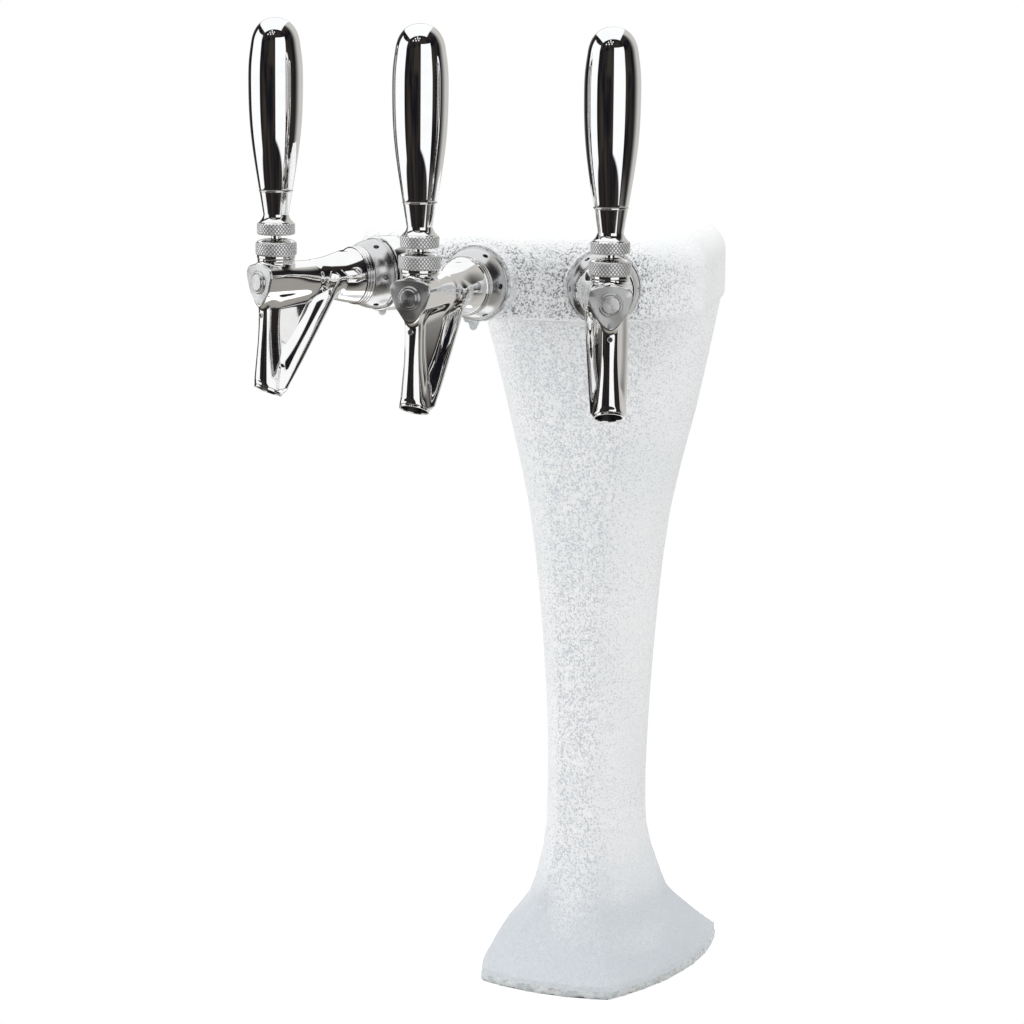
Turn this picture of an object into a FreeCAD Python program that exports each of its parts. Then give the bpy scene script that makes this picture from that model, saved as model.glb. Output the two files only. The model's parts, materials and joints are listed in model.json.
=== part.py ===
"""Three-tap drink tower: a waisted column with an arc-fronted head, and three lever taps fanned round it.

Frame: millimetres, +Z up, origin on the floor under the column's axis, the middle tap points along -Y.
Every tap is built once in its own frame and placed three times by a loop. In a tap's frame +Y runs outward
along the shank, +Z is up, and the origin lies on the shank's axis at the rim of the coupling nut.
"""
import FreeCAD, Part
import math
import os

import Sketcher
from FreeCAD import Placement, Rotation, Vector

OUT_DIR = "parts"
X_AXIS = Vector(1, 0, 0)
Y_AXIS = Vector(0, 1, 0)
Z_AXIS = Vector(0, 0, 1)
FULL_TURN = 360

# ---------------------------------------------------------------- driving dimensions, millimetres and degrees

LAYOUT = {
    "shank_rise": 23.5,         # axis of the three shanks above the head's floor
    "fan_radius": 179.6,        # from the fan's centre to the rim of each coupling nut
    "fan_centre": -22.8,        # y of the point that all three shanks aim at
    "fan_angle": 26.35,         # between neighbouring taps
    "running_gap": 0.06,        # radial clearance of a moving fit
    "seat_gap": 0.1,            # clearance of a fixed fit
}

# Each level of the column is a four-sided section: a front facet, two bowed sides and a bowed back.
LEVEL_FIELDS = ("height", "front_half", "front_reach", "back_half", "back_reach",
                "side_bow", "front_bow", "back_bow")
LEVELS = {
    "rim":      (9.0, 48.0, 86.0, 57.0, 87.0, 17.0, 8.0, 6.0),
    "toe":      (24.0, 36.5, 68.0, 44.0, 72.0, 24.0, 4.0, 5.0),
    "instep":   (55.0, 22.5, 43.5, 16.0, 58.0, 25.0, 2.0, 4.0),
    "ankle":    (100.0, 13.9, 38.6, 13.5, 38.0, 20.5, 1.0, 4.0),
    "waist":    (170.0, 13.5, 39.0, 18.5, 35.0, 18.2, 1.0, 4.0),
    "chest":    (300.0, 17.3, 44.5, 34.0, 29.0, 19.0, 1.5, 6.0),
    "shoulder": (400.0, 28.0, 50.0, 66.0, 12.0, 16.0, 2.5, 9.0),
    "crown":    (476.0, 38.5, 50.3, 90.0, -8.0, 14.0, 4.0, 12.0),
}

TOWER = {
    "column_wall": 5.0,
    "gasket_thickness": 2.0,
    "gasket_inset": 1.0,
    "plate_thickness": 14.0,
    "plate_gap": 0.3,
    "passage_radius": 24.0,     # bore for the lines through the base
    "passage_y": -15.0,
    "gasket_passage": 26.0,
    "anchor_radius": 4.0,       # M8 thread for the counter studs
    "anchor_spread": 60.0,
    "anchor_depth": 90.0,
    "boss_radius": 6.0,
    "foot_boss_height": 26.0,
    "foot_screw_half": 20.0,
    "foot_screw_front": -50.0,
    "foot_screw_back": 58.0,
    "foot_screw_radius": 3.0,
    "foot_screw_head": 5.5,
    "foot_screw_bite": 12.0,
    "neck_boss_height": 26.0,
    "neck_screw_side": 70.0,
    "neck_screw_side_y": -32.3,
    "neck_screw_front": 26.0,
    "neck_screw_front_y": -42.5,
    "neck_screw_radius": 2.5,
    "neck_screw_head": 4.5,
    "neck_screw_cap": 4.0,
    "neck_screw_bite": 12.0,
}

HEAD = {
    "head_height": 52.0,
    "head_wall": 4.0,
    "collar_depth": 8.0,        # from the head's face to the rim of the coupling nut
    "arc_half_angle": 36.0,
    "side_half": 124.0,
    "side_y": -124.0,
    "back_half": 90.0,
    "back_y": 4.0,
    "cheek_round": 26.0,
    "back_round": 30.0,
    "top_round": 20.0,
    "bottom_round": 6.0,
    "throat_half": 48.0,
    "throat_front": -33.0,
    "throat_back": -4.0,
    "hatch_half": 55.0,
    "hatch_front": -148.0,
    "hatch_back": -72.0,
    "cover_lap": 8.0,
    "cover_thickness": 3.0,
    "cover_gasket_thickness": 1.5,
    "cover_screw_radius": 2.0,
    "cover_screw_head": 3.6,
    "cover_screw_cap": 2.0,
}

COOLING = {
    "block_depth": 20.0,
    "block_low": 15.0,
    "block_high": 11.5,
    "block_half_angle": 33.0,
    "block_spotface": 1.2,
    "block_bevel": 2.5,         # clears the round under the head's roof
    "pipe_radius": 4.75,
    "pipe_bore": 3.75,
    "pipe_start": 18.0,
    "line_y": -22.0,
    "line_spread": 13.0,
    "line_turn_radius": 24.0,
    "line_join": 85.0,
    "coolant_y": -10.0,
    "coolant_half": 11.0,
    "coolant_setback": 14.4,    # from the head's face to the run across the chill block
    "coolant_front_half": 26.0,
    "coolant_turn_radius": 16.0,
    "clip_thickness": 4.0,
    "clip_low": 160.0,
    "clip_high": 340.0,
}

SHANK = {
    "thread_radius": 11.0,
    "shank_bore": 4.5,
    "shank_tail": 60.0,
    "tail_radius": 7.0,
    "tail_length": 18.0,
    "flange_radius": 17.5,
    "flange_thickness": 2.5,
    "boss_front": 9.0,
    "shank_boss": 14.5,
    "nut_radius": 16.0,
    "nut_thickness": 8.0,
    "collar_radius": 25.0,
    "collar_back": 12.0,
    "collar_edge": 1.2,
    "seal_thickness": 1.5,
    "seal_bore": 6.0,
    "seal_radius": 13.0,
}

COUPLING = {
    "rim_radius": 23.0,
    "rim_width": 2.2,
    "rim_step": 0.4,
    "dome_radius": 22.4,
    "lip_radius": 19.0,
    "lip_front": 14.8,
    "lip_thickness": 1.8,
    "nut_rim_start": 0.2,
    "spanner_hole": 1.8,
    "spanner_depth": 3.0,
    "spanner_station": 8.5,
    "spanner_count": 6,
}

FAUCET = {
    "spigot_radius": 11.5,
    "spigot_flange": 13.8,
    "spigot_flange_thickness": 2.5,
    "bell_radius": 19.0,
    "bell_start": 15.2,
    "rib_pitch": 2.2,
    "rib_drop": 0.7,
    "throat_station": 46.0,
    "throat_radius": 11.8,
    "barrel_bore": 7.5,
    "rear_bore": 8.2,
    "seat_bore": 5.0,
    "seat_rear": 30.0,
    "seat_front": 33.0,
    "face_station": 92.0,
    "face_radius": 13.0,
    "face_lobe": 0.12,
    "face_point": 0.03,
    "neck_station": 78.65,
    "neck_radius": 10.8,
    "neck_top": 14.6,
    "neck_thread": 10.4,
    "neck_thread_top": 19.0,
    "neck_bore": 8.3,
    "washer_floor": 16.6,
    "washer_recess": 9.35,
    "spout_reach": 85.4,
    "spout_drop": 69.5,
    "spout_radius": 9.35,
    "spout_wall": 1.0,
    "spout_tilt": 20.0,
    "spout_mouth_depth": 11.0,
    "mouth_taper": 0.82,        # the bore's width at its end, as a share of its width at the mouth
    "leg_reach": 87.5,
    "leg_half_width": 4.3,
    "leg_half_depth": 4.6,
    "vent_radius": 1.3,
    "vent_drop": 21.0,
    "duct_start": 40.0,
    "duct_drop": 2.0,
    "duct_half_width": 11.8,
    "duct_half_depth": 7.0,
    "duct_bore": 4.2,
    "web_front_half": 3.6,      # the spout's side walls stand this far from its middle plane
    "web_rear_half": 8.0,
    "web_cover": 1.5,           # metal left between the barrel's bore and the walls
    "outlet_ring": 18.0,
    "outlet_taper": 0.72,
}

# Sections down the spout's legs: how far down, then half width and half depth, as shares of the leg's own.
LEG_SECTIONS = ((0.0, 1.15, 0.92), (0.25, 1.0, 0.79), (0.5, 1.12, 0.98), (0.75, 1.55, 1.49))
DUCT_SECTIONS = ((0.0, 1.12, 1.0), (0.25, 1.12, 0.92), (0.5, 1.04, 0.86), (0.78, 0.92, 0.84))
# The legs' ends: distance from the outlet's axis, half width and half depth, as shares of its radius.
LEG_FOOT = (0.42, 0.93, 0.56)
DUCT_FOOT = (0.40, 0.96, 0.57)
# The barrel's sections: how far from the throat to the face, and how much of the way to the face's form.
BARREL_SECTIONS = ((0.0, 0.0), (0.25, 0.45), (0.6, 0.9), (1.0, 1.0))
# The coupling nut's dome: how far out from the lip to the dome's foot, and how far up to the lip.
DOME_SECTIONS = ((0.86, 0.26), (0.62, 0.52), (0.30, 0.78))
TREFOIL_POINTS = 24
OVAL_POINTS = 16
BELL_BEND = (0.72, 0.5)                             # the bell's curve: how far in, and how far to the throat
BELL_SLOPE = 0.35                                   # how steeply the curve starts

VALVE = {
    "rod_radius": 3.0,
    "rod_rear": 20.0,
    "rod_head_radius": 6.0,
    "rod_head_length": 5.0,
    "valve_seal_radius": 7.4,
    "piston_rear": 69.0,
    "piston_front": 83.6,
    "slot_half_length": 3.2,
    "slot_flare": 2.5,
    "slot_half_width": 2.95,
    "slot_depth": 3.4,
    "slot_step": 0.5,
    "plug_rear": 85.0,
    "plug_ring_radius": 7.2,
    "plug_ring_step": 1.3,
    "plug_face_radius": 5.7,
    "plug_face_step": 2.4,
    "plug_edge": 0.5,
}

LEVER = {
    "pivot_height": 21.0,
    "ball_radius": 6.0,
    "stem_radius": 3.0,
    "arm_radius": 2.5,
    "tip_radius": 2.7,
    "tip_height": 0.2,
    "washer_bore": 5.2,
    "washer_radius": 9.3,
    "washer_top": 17.8,
    "stem_top": 64.0,
    "bonnet_bottom": 14.8,
    "bonnet_skirt": 12.2,
    "bonnet_radius": 13.0,
    "bonnet_edge": 0.4,
    "bonnet_shoulder": 0.7,
    "knurl_bottom": 17.2,
    "knurl_top": 24.6,
    "bonnet_top": 27.0,
    "bonnet_crown": 7.6,
    "mouth_radius": 6.5,
    "mouth_height": 24.4,
    "mouth_throat": 4.9,
    "jam_bottom": 29.6,
    "jam_top": 37.6,
    "jam_radius": 11.9,
    "jam_knurl_top": 35.6,
    "jam_neck": 8.2,
    "jam_chamfer": 0.8,
    "ferrule_bottom": 7.8,
    "ferrule_radius": 10.6,
    "ferrule_top": 57.6,
    "ferrule_lip": 1.6,
    "handle_foot": 10.9,
    "handle_top": 164.6,
    "handle_hip_height": 93.5,
    "handle_hip": 15.9,
    "handle_widest_height": 124.0,
    "handle_widest": 17.1,
    "handle_brow_height": 150.0,
    "handle_brow": 15.4,
    "handle_wall": 2.0,
    "handle_root": 8.0,
}

TAPS = (("left", -1), ("middle", 0), ("right", 1))


# ---------------------------------------------------------------- sizes that are both numbers and expressions

class Size:
    """A length or angle that knows its spreadsheet expression as well as its number."""

    def __init__(self, value, text=None):
        self.value = float(value)
        self.text = text if text else repr(float(value))

    def __float__(self):
        return self.value

    def _join(self, other, sign, value):
        other = as_size(other)
        return Size(value, "(" + self.text + " " + sign + " " + other.text + ")")

    def __add__(self, other):
        return self._join(other, "+", self.value + float(other))

    def __sub__(self, other):
        return self._join(other, "-", self.value - float(other))

    def __mul__(self, other):
        return self._join(other, "*", self.value * float(other))

    def __truediv__(self, other):
        return self._join(other, "/", self.value / float(other))

    def __radd__(self, other):
        return as_size(other) + self

    def __rsub__(self, other):
        return as_size(other) - self

    def __rmul__(self, other):
        return as_size(other) * self

    def __neg__(self):
        return Size(-self.value, "(0 - " + self.text + ")")


def as_size(value):
    return value if isinstance(value, Size) else Size(value)


def sine(angle):
    return Size(math.sin(math.radians(angle.value)), "sin(" + angle.text + ")")


def cosine(angle):
    return Size(math.cos(math.radians(angle.value)), "cos(" + angle.text + ")")


class Sheet:
    """The spreadsheet of driving dimensions; each one is also an attribute of this object."""

    def __init__(self, document):
        self.cells = document.addObject("Spreadsheet::Sheet", "Spreadsheet")
        self.row = 0

    def add(self, alias, value):
        self.row += 1
        self.cells.set("A" + str(self.row), alias)
        self.cells.set("B" + str(self.row), str(value))
        self.cells.setAlias("B" + str(self.row), alias)
        setattr(self, alias, Size(value, "Spreadsheet." + alias))


doc = FreeCAD.newDocument("drink_tower")
d = Sheet(doc)
for group in (LAYOUT, TOWER, HEAD, COOLING, SHANK, COUPLING, FAUCET, VALVE, LEVER):
    for alias, value in group.items():
        d.add(alias, value)
for level, row in LEVELS.items():
    for field, value in zip(LEVEL_FIELDS, row):
        d.add(level + "_" + field, value)
doc.recompute()

wall_radius = d.fan_radius - d.collar_depth         # the head's face, about the fan's centre
head_floor = d.crown_height
head_roof = head_floor + d.head_height
shank_height = head_floor + d.shank_rise
sub_parts = []


# ---------------------------------------------------------------- helpers

def bind(obj, **sizes):
    """Sets properties of obj to sizes, as expressions; a double underscore stands for a dot."""
    for name, size in sizes.items():
        obj.setExpression(name.replace("__", "."), as_size(size).text)


def put(obj, x=0, y=0, z=0, turn=None):
    """Places obj at a point, turned about the vertical, all bound to the sheet."""
    angle = as_size(turn) if turn is not None else Size(0)
    where = [as_size(v) for v in (x, y, z)]
    obj.Placement = Placement(Vector(*[v.value for v in where]), Rotation(Z_AXIS, angle.value))
    bind(obj, Placement__Base__x=where[0], Placement__Base__y=where[1], Placement__Base__z=where[2])
    if turn is not None:
        bind(obj, Placement__Rotation__Angle=angle)
    return obj


def tap_turn(side):
    """The angle that points a tap's own +Y outward."""
    return 180 + d.fan_angle * side


def put_on_tap(obj, side, out=0, up=0):
    """Places obj in a tap's frame, out along the shank and up from its axis."""
    angle = d.fan_angle * side
    reach = d.fan_radius + out
    return put(obj, sine(angle) * reach, d.fan_centre - cosine(angle) * reach, shank_height + up,
               tap_turn(side))


def keep(obj, label):
    """Registers obj as a sub-part under its own name."""
    obj.Label = label
    sub_parts.append(obj)
    return obj


def box(x0, x1, y0, y1, z0, z1):
    piece = doc.addObject("Part::Box", "block")
    x0, x1, y0, y1, z0, z1 = [as_size(v) for v in (x0, x1, y0, y1, z0, z1)]
    bind(piece, Length=x1 - x0, Width=y1 - y0, Height=z1 - z0)
    return put(piece, x0, y0, z0)


def rod(radius, bottom, top, x=0, y=0):
    """An upright cylinder from bottom to top."""
    piece = doc.addObject("Part::Cylinder", "rod")
    bind(piece, Radius=radius, Height=as_size(top) - bottom)
    return put(piece, x, y, bottom)


def ball(radius, z=0):
    piece = doc.addObject("Part::Sphere", "ball")
    bind(piece, Radius=radius)
    return put(piece, 0, 0, z)


def fused(*pieces):
    joined = doc.addObject("Part::MultiFuse", "joined")
    joined.Shapes = list(pieces)
    joined.Refine = True
    return joined


def cut(base, *tools):
    """base less every tool."""
    result = doc.addObject("Part::Cut", "cut")
    result.Base = base
    result.Tool = tools[0] if len(tools) == 1 else fused(*tools)
    return result


def shaped(shape):
    """A feature that carries a shape made by Part's own functions."""
    piece = doc.addObject("Part::Feature", "shaped")
    piece.Shape = shape
    return piece


def turned(profile, upright=True):
    """A body turned from a closed profile of (radius, height) corners about +Z or, if not upright, +Y."""
    body = doc.addObject("PartDesign::Body", "turned")
    plane_role = "XZ_Plane" if upright else "XY_Plane"
    plane = [f for f in body.Origin.OriginFeatures if f.Role == plane_role][0]
    sketch = body.newObject("Sketcher::SketchObject", "profile")
    sketch.AttachmentSupport = [(plane, "")]
    sketch.MapMode = "FlatFace"
    corners = [(as_size(r), as_size(h)) for r, h in profile]
    points = [Vector(r.value, h.value, 0) for r, h in corners]
    count = len(points)
    for i in range(count):
        sketch.addGeometry(Part.LineSegment(points[i], points[(i + 1) % count]), False)
    for i in range(count):
        follower = (i + 1) % count
        sketch.addConstraint(Sketcher.Constraint("Coincident", i, 2, follower, 1))
    for i, (radius, height) in enumerate(corners):
        if radius.value == 0:
            sketch.addConstraint(Sketcher.Constraint("PointOnObject", i, 1, -2))
        else:
            index = sketch.addConstraint(Sketcher.Constraint("DistanceX", -1, 1, i, 1, radius.value))
            sketch.setExpression("Constraints[" + str(index) + "]", radius.text)
        index = sketch.addConstraint(Sketcher.Constraint("DistanceY", -1, 1, i, 1, height.value))
        sketch.setExpression("Constraints[" + str(index) + "]", height.text)
    revolution = body.newObject("PartDesign::Revolution", "turning")
    revolution.Profile = sketch
    revolution.ReferenceAxis = (sketch, ["V_Axis"])
    revolution.Angle = FULL_TURN
    body.Tip = revolution
    return body


def in_plane(x, y, z=0):
    return Vector(float(x), float(y), float(z))


def extruded(wire, low, high):
    return Part.Face(wire).extrude(Vector(0, 0, high - low))


def bowed(start, end, bow):
    """An arc from start to end that stands out by bow on the right-hand side."""
    chord = end - start
    outward = Vector(chord.y, -chord.x, 0).normalize()
    return Part.Arc(start, (start + end) * 0.5 + outward * bow, end).toShape()


# ---------------------------------------------------------------- column

LEVEL_NAMES = list(LEVELS)
COLUMN_STEPS = 22                                   # sections in the column's loft
STEP_GROWTH = 1.08                                  # each step of the loft is this much taller than the last


def level_size(level, field):
    return float(getattr(d, level + "_" + field))


def climb(below, above, gap_below, gap_above):
    """The slope of a curve at a level, from the slopes below and above it; flat where it turns back."""
    if below * above <= 0:
        return 0.0
    near, far = 2 * gap_above + gap_below, gap_above + 2 * gap_below
    return (near + far) / (near / below + far / above)


def size_at(field, height):
    """A field of the column's levels at any height, on a smooth curve that never overshoots them."""
    heights = [level_size(level, "height") for level in LEVEL_NAMES]
    values = [level_size(level, field) for level in LEVEL_NAMES]
    gaps = [above - below for below, above in zip(heights, heights[1:])]
    rises = [(above - below) / gap for below, above, gap in zip(values, values[1:], gaps)]
    middles = [climb(rises[i], rises[i + 1], gaps[i], gaps[i + 1]) for i in range(len(rises) - 1)]
    slopes = rises[:1] + middles + rises[-1:]
    span = 0
    while span < len(gaps) - 1 and height > heights[span + 1]:
        span += 1
    gap = gaps[span]
    t = (height - heights[span]) / gap
    ease = t * t * (3 - 2 * t)
    return (values[span] * (1 - ease) + values[span + 1] * ease
            + gap * slopes[span] * t * (1 - t) ** 2 - gap * slopes[span + 1] * t * t * (1 - t))


def column_outline(inset, level_height, height):
    """The column's outline as it is at level_height, drawn in by inset and laid at height."""
    size = {field: size_at(field, level_height) for field in LEVEL_FIELDS[1:]}
    front = size["front_half"] - inset
    back = size["back_half"] - inset
    front_y = inset - size["front_reach"]
    back_y = size["back_reach"] - inset
    front_left, front_right = in_plane(-front, front_y, height), in_plane(front, front_y, height)
    back_left, back_right = in_plane(-back, back_y, height), in_plane(back, back_y, height)
    return Part.Wire([
        bowed(front_left, front_right, size["front_bow"]),
        bowed(front_right, back_right, size["side_bow"]),
        bowed(back_right, back_left, size["back_bow"]),
        bowed(back_left, front_left, size["side_bow"]),
    ])


def column_solid(inset, first, foot, head):
    """A loft from level first to the crown, with a straight foot below it and a straight head above it."""
    low, high = level_size(first, "height"), level_size("crown", "height")
    whole = (STEP_GROWTH ** COLUMN_STEPS - 1) / (STEP_GROWTH - 1)
    heights = [low + (high - low) * (STEP_GROWTH ** step - 1) / (STEP_GROWTH - 1) / whole
               for step in range(COLUMN_STEPS + 1)]
    solid = Part.makeLoft([column_outline(inset, height, height) for height in heights], True, True)
    if foot < low:
        solid = solid.fuse(extruded(column_outline(inset, low, foot), foot, low))
    if head > high:
        solid = solid.fuse(extruded(column_outline(inset, high, high), high, head))
    return solid


def upright_cylinders(points, radius, low, high):
    """Cylinders from low to high at each point of the plan, as one shape."""
    pieces = [Part.makeCylinder(radius, high - low, in_plane(x, y, low)) for x, y in points]
    return pieces[0].multiFuse(pieces[1:]) if len(pieces) > 1 else pieces[0]


def mirrored_points(*pairs):
    """Each (x, y) and its mirror image about the middle plane."""
    return [(side * float(x), float(y)) for x, y in pairs for side in (-1, 1)]


PAST = 1.0                                          # how far a cutting tool runs past a face
gasket_top = d.gasket_thickness
plate_top = gasket_top + d.plate_thickness
foot_screws = mirrored_points((d.foot_screw_half, d.foot_screw_front),
                              (d.foot_screw_half, d.foot_screw_back))
foot_hole = d.foot_screw_radius + d.seat_gap
neck_screws = mirrored_points((d.neck_screw_side, d.neck_screw_side_y),
                              (d.neck_screw_front, d.neck_screw_front_y))
anchors = mirrored_points((d.anchor_spread / 2, d.anchor_depth / 2),
                          (d.anchor_spread / 2, -d.anchor_depth / 2))


def make_column():
    wall = float(d.column_wall)
    crown = float(head_floor)
    outer = column_solid(0, "rim", float(gasket_top), crown)
    inner = column_solid(wall, "toe", float(gasket_top) - PAST, crown + PAST)
    foot_bosses = upright_cylinders(foot_screws, float(d.boss_radius), float(plate_top),
                                    float(plate_top + d.foot_boss_height))
    neck_bosses = upright_cylinders(neck_screws, float(d.boss_radius), crown - float(d.neck_boss_height),
                                    crown)
    shell = outer.cut(inner).fuse(foot_bosses.common(outer)).fuse(neck_bosses.common(outer))
    foot_holes = upright_cylinders(foot_screws, float(foot_hole), float(plate_top) - PAST,
                                   float(plate_top + d.foot_screw_bite) + PAST)
    neck_holes = upright_cylinders(neck_screws, float(d.neck_screw_radius + d.seat_gap),
                                   crown - float(d.neck_screw_bite) - PAST, crown + PAST)
    keep(shaped(shell.cut(foot_holes).cut(neck_holes).removeSplitter()), "column_shell")


def make_base():
    outline = column_outline(float(d.gasket_inset), float(d.rim_height), 0)
    gasket = extruded(outline, 0, float(gasket_top))
    low, high = float(gasket_top), float(plate_top)
    middle = [(0, d.passage_y)]
    wide_passage = upright_cylinders(middle, float(d.gasket_passage), -PAST, low + PAST)
    passage = upright_cylinders(middle, float(d.passage_radius), -PAST, high + PAST)
    anchor_holes = upright_cylinders(anchors, float(d.anchor_radius), -PAST, high + PAST)
    keep(shaped(gasket.cut(wide_passage).cut(anchor_holes)), "base_gasket")

    inset = float(d.column_wall + d.plate_gap)
    plate = extruded(column_outline(inset, float(d.toe_height), low), low, high)
    screw_holes = upright_cylinders(foot_screws, float(foot_hole), low - PAST, high + PAST)
    head_holes = upright_cylinders(foot_screws, float(d.foot_screw_head + d.seat_gap), low - PAST,
                                   low + float(d.plate_thickness) / 2)
    keep(shaped(plate.cut(passage).cut(anchor_holes).cut(screw_holes).cut(head_holes)), "base_plate")

    screws = []
    for x, y in foot_screws:
        head = rod(d.foot_screw_head, gasket_top, gasket_top + d.plate_thickness / 2, x, y)
        shank = rod(d.foot_screw_radius, gasket_top, plate_top + d.foot_screw_bite, x, y)
        screws += [head, shank]
    keep(fused(*screws), "base_screws")


# ---------------------------------------------------------------- head

def head_outline(inset, height):
    """The head's plan, drawn in by inset: an arc in front, flared cheeks and a straight back."""
    radius = float(wall_radius) - inset
    angle = math.radians(float(d.arc_half_angle))
    centre_y = float(d.fan_centre)
    arc_x, arc_y = radius * math.sin(angle), centre_y - radius * math.cos(angle)
    side_x, back_x = float(d.side_half) - inset, float(d.back_half) - inset
    side_y, back_y = float(d.side_y), float(d.back_y) - inset
    front = Part.Arc(in_plane(-arc_x, arc_y, height), in_plane(0, centre_y - radius, height),
                     in_plane(arc_x, arc_y, height)).toShape()
    corners = [in_plane(x, y, height) for x, y in
               ((arc_x, arc_y), (side_x, side_y), (back_x, back_y), (-back_x, back_y), (-side_x, side_y),
                (-arc_x, arc_y))]
    sides = [Part.LineSegment(corners[i], corners[i + 1]).toShape() for i in range(len(corners) - 1)]
    return Part.Wire([front] + sides)


def head_block(inset, low, high, bottom_round):
    """The head's solid, drawn in by inset, with rounded cheeks, back corners and top."""
    block = extruded(head_outline(inset, low), low, high)
    upright = [e for e in block.Edges if abs(e.tangentAt(e.FirstParameter).z) > 0.99]
    behind = float(d.side_y) / 2
    cheeks = [e for e in upright if e.CenterOfMass.y < behind]
    backs = [e for e in upright if e.CenterOfMass.y > behind]
    block = block.makeFillet(float(d.cheek_round) - inset, cheeks)
    backs = [e for e in block.Edges for b in backs if e.CenterOfMass.distanceToPoint(b.CenterOfMass) < 0.01]
    block = block.makeFillet(float(d.back_round) - inset, backs)
    top = [e for e in block.Edges if min(v.Z for v in e.Vertexes) > high - 0.01]
    block = block.makeFillet(float(d.top_round) - inset, top)
    if bottom_round > 0:
        bottom = [e for e in block.Edges if max(v.Z for v in e.Vertexes) < low + 0.01]
        block = block.makeFillet(bottom_round, bottom)
    return block


def shank_cylinder(side, radius, inner, outer):
    """A cylinder along a shank's axis, between two distances from the fan's centre."""
    angle = math.radians(float(d.fan_angle * side))
    outward = Vector(math.sin(angle), -math.cos(angle), 0)
    start = in_plane(0, d.fan_centre, shank_height) + outward * inner
    return Part.makeCylinder(radius, outer - inner, start, outward)


def plain_box(x0, x1, y0, y1, z0, z1):
    """A box between plain numbers, for shapes made by Part's own functions."""
    return Part.makeBox(x1 - x0, y1 - y0, z1 - z0, Vector(x0, y0, z0))


cover_screws = mirrored_points((d.hatch_half + d.cover_lap / 2, d.hatch_front - d.cover_lap / 2),
                               (d.hatch_half + d.cover_lap / 2, d.hatch_back + d.cover_lap / 2))


def make_head():
    wall = float(d.head_wall)
    floor, roof = float(head_floor), float(head_roof)
    outer = head_block(0, floor, roof, float(d.bottom_round))
    inner = head_block(wall, floor + wall, roof - wall, 0)
    shell = outer.cut(inner)
    low, high = floor - PAST, floor + wall + PAST
    shell = shell.cut(plain_box(-float(d.throat_half), float(d.throat_half), float(d.throat_front),
                                float(d.throat_back), low, high))
    shell = shell.cut(plain_box(-float(d.hatch_half), float(d.hatch_half), float(d.hatch_front),
                                float(d.hatch_back), low, high))
    shell = shell.cut(upright_cylinders(neck_screws, float(d.neck_screw_radius + d.seat_gap), low, high))
    shell = shell.cut(upright_cylinders(cover_screws, float(d.cover_screw_radius + d.seat_gap), low, high))
    for name, side in TAPS:
        shell = shell.cut(shank_cylinder(side, float(d.thread_radius + d.seat_gap),
                                         float(wall_radius) - 2 * wall, float(wall_radius) + PAST))
    keep(shaped(shell.removeSplitter()), "head_shell")

    screws = []
    for x, y in neck_screws:
        seat = head_floor + d.head_wall
        top = seat + d.neck_screw_cap
        screws.append(rod(d.neck_screw_head, seat, top, x, y))
        screws.append(rod(d.neck_screw_radius, head_floor - d.neck_screw_bite, top, x, y))
    keep(fused(*screws), "head_screws")


def make_underside_cover():
    """The plate under the head that gives access to the shank nuts."""
    lap = d.cover_lap
    edge_x = d.hatch_half + lap
    edge_front, edge_back = d.hatch_front - lap, d.hatch_back + lap
    gasket_low = head_floor - d.cover_gasket_thickness
    cover_low = gasket_low - d.cover_thickness
    hole = d.cover_screw_radius + d.seat_gap

    def holes():
        return [rod(hole, cover_low - PAST, head_floor + PAST, x, y) for x, y in cover_screws]

    gasket = box(-edge_x, edge_x, edge_front, edge_back, gasket_low, head_floor)
    window = box(-d.hatch_half, d.hatch_half, d.hatch_front, d.hatch_back,
                 gasket_low - PAST, head_floor + PAST)
    keep(cut(gasket, window, *holes()), "cover_gasket")
    plate = box(-edge_x, edge_x, edge_front, edge_back, cover_low, gasket_low)
    keep(cut(plate, *holes()), "underside_cover")
    screws = []
    for x, y in cover_screws:
        foot = cover_low - d.cover_screw_cap
        screws.append(rod(d.cover_screw_head, foot, cover_low, x, y))
        screws.append(rod(d.cover_screw_radius, foot, head_floor + d.head_wall, x, y))
    keep(fused(*screws), "cover_screws")


# ---------------------------------------------------------------- chilling and beer lines

block_outer = wall_radius - d.head_wall - d.seat_gap
block_inner = block_outer - d.block_depth
block_seat = block_inner + d.block_spotface         # where the shank nuts bear, from the fan's centre


def make_chill_block():
    """An arc-shaped bar behind the head's face that the three shanks pass through."""
    low = float(shank_height - d.block_low)
    height = float(d.block_low + d.block_high)
    centre = in_plane(0, d.fan_centre, low)
    sweep = float(d.block_half_angle) * 2
    outer = Part.makeCylinder(float(block_outer), height, centre, Z_AXIS, sweep)
    ring = outer.cut(Part.makeCylinder(float(block_inner), height, centre))
    brow = float(block_outer - d.block_bevel)
    ring = ring.common(Part.makeCone(brow + height, brow, height, centre))
    ring.rotate(centre, Z_AXIS, -90 - sweep / 2)
    for name, side in TAPS:
        ring = ring.cut(shank_cylinder(side, float(d.thread_radius + d.seat_gap), float(block_inner) / 2,
                                       float(block_outer) + PAST))
        ring = ring.cut(shank_cylinder(side, float(d.nut_radius) + PAST, float(block_inner) / 2,
                                       float(block_seat)))
    keep(shaped(ring), "chill_block")


def path_wire(points, turn):
    """Straight runs through the points, joined by tangent arcs of one radius."""
    edges, start = [], points[0]
    for before, corner, after in zip(points, points[1:], points[2:]):
        arriving, leaving = (corner - before).normalize(), (after - corner).normalize()
        half = arriving.getAngle(leaving) / 2
        setback = turn * math.tan(half)
        first, last = corner - arriving * setback, corner + leaving * setback
        bisector = (leaving - arriving).normalize()
        middle = corner + bisector * (turn / math.cos(half) - turn)
        edges += [Part.LineSegment(start, first).toShape(), Part.Arc(first, middle, last).toShape()]
        start = last
    edges.append(Part.LineSegment(start, points[-1]).toShape())
    return Part.Wire(edges)


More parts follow.
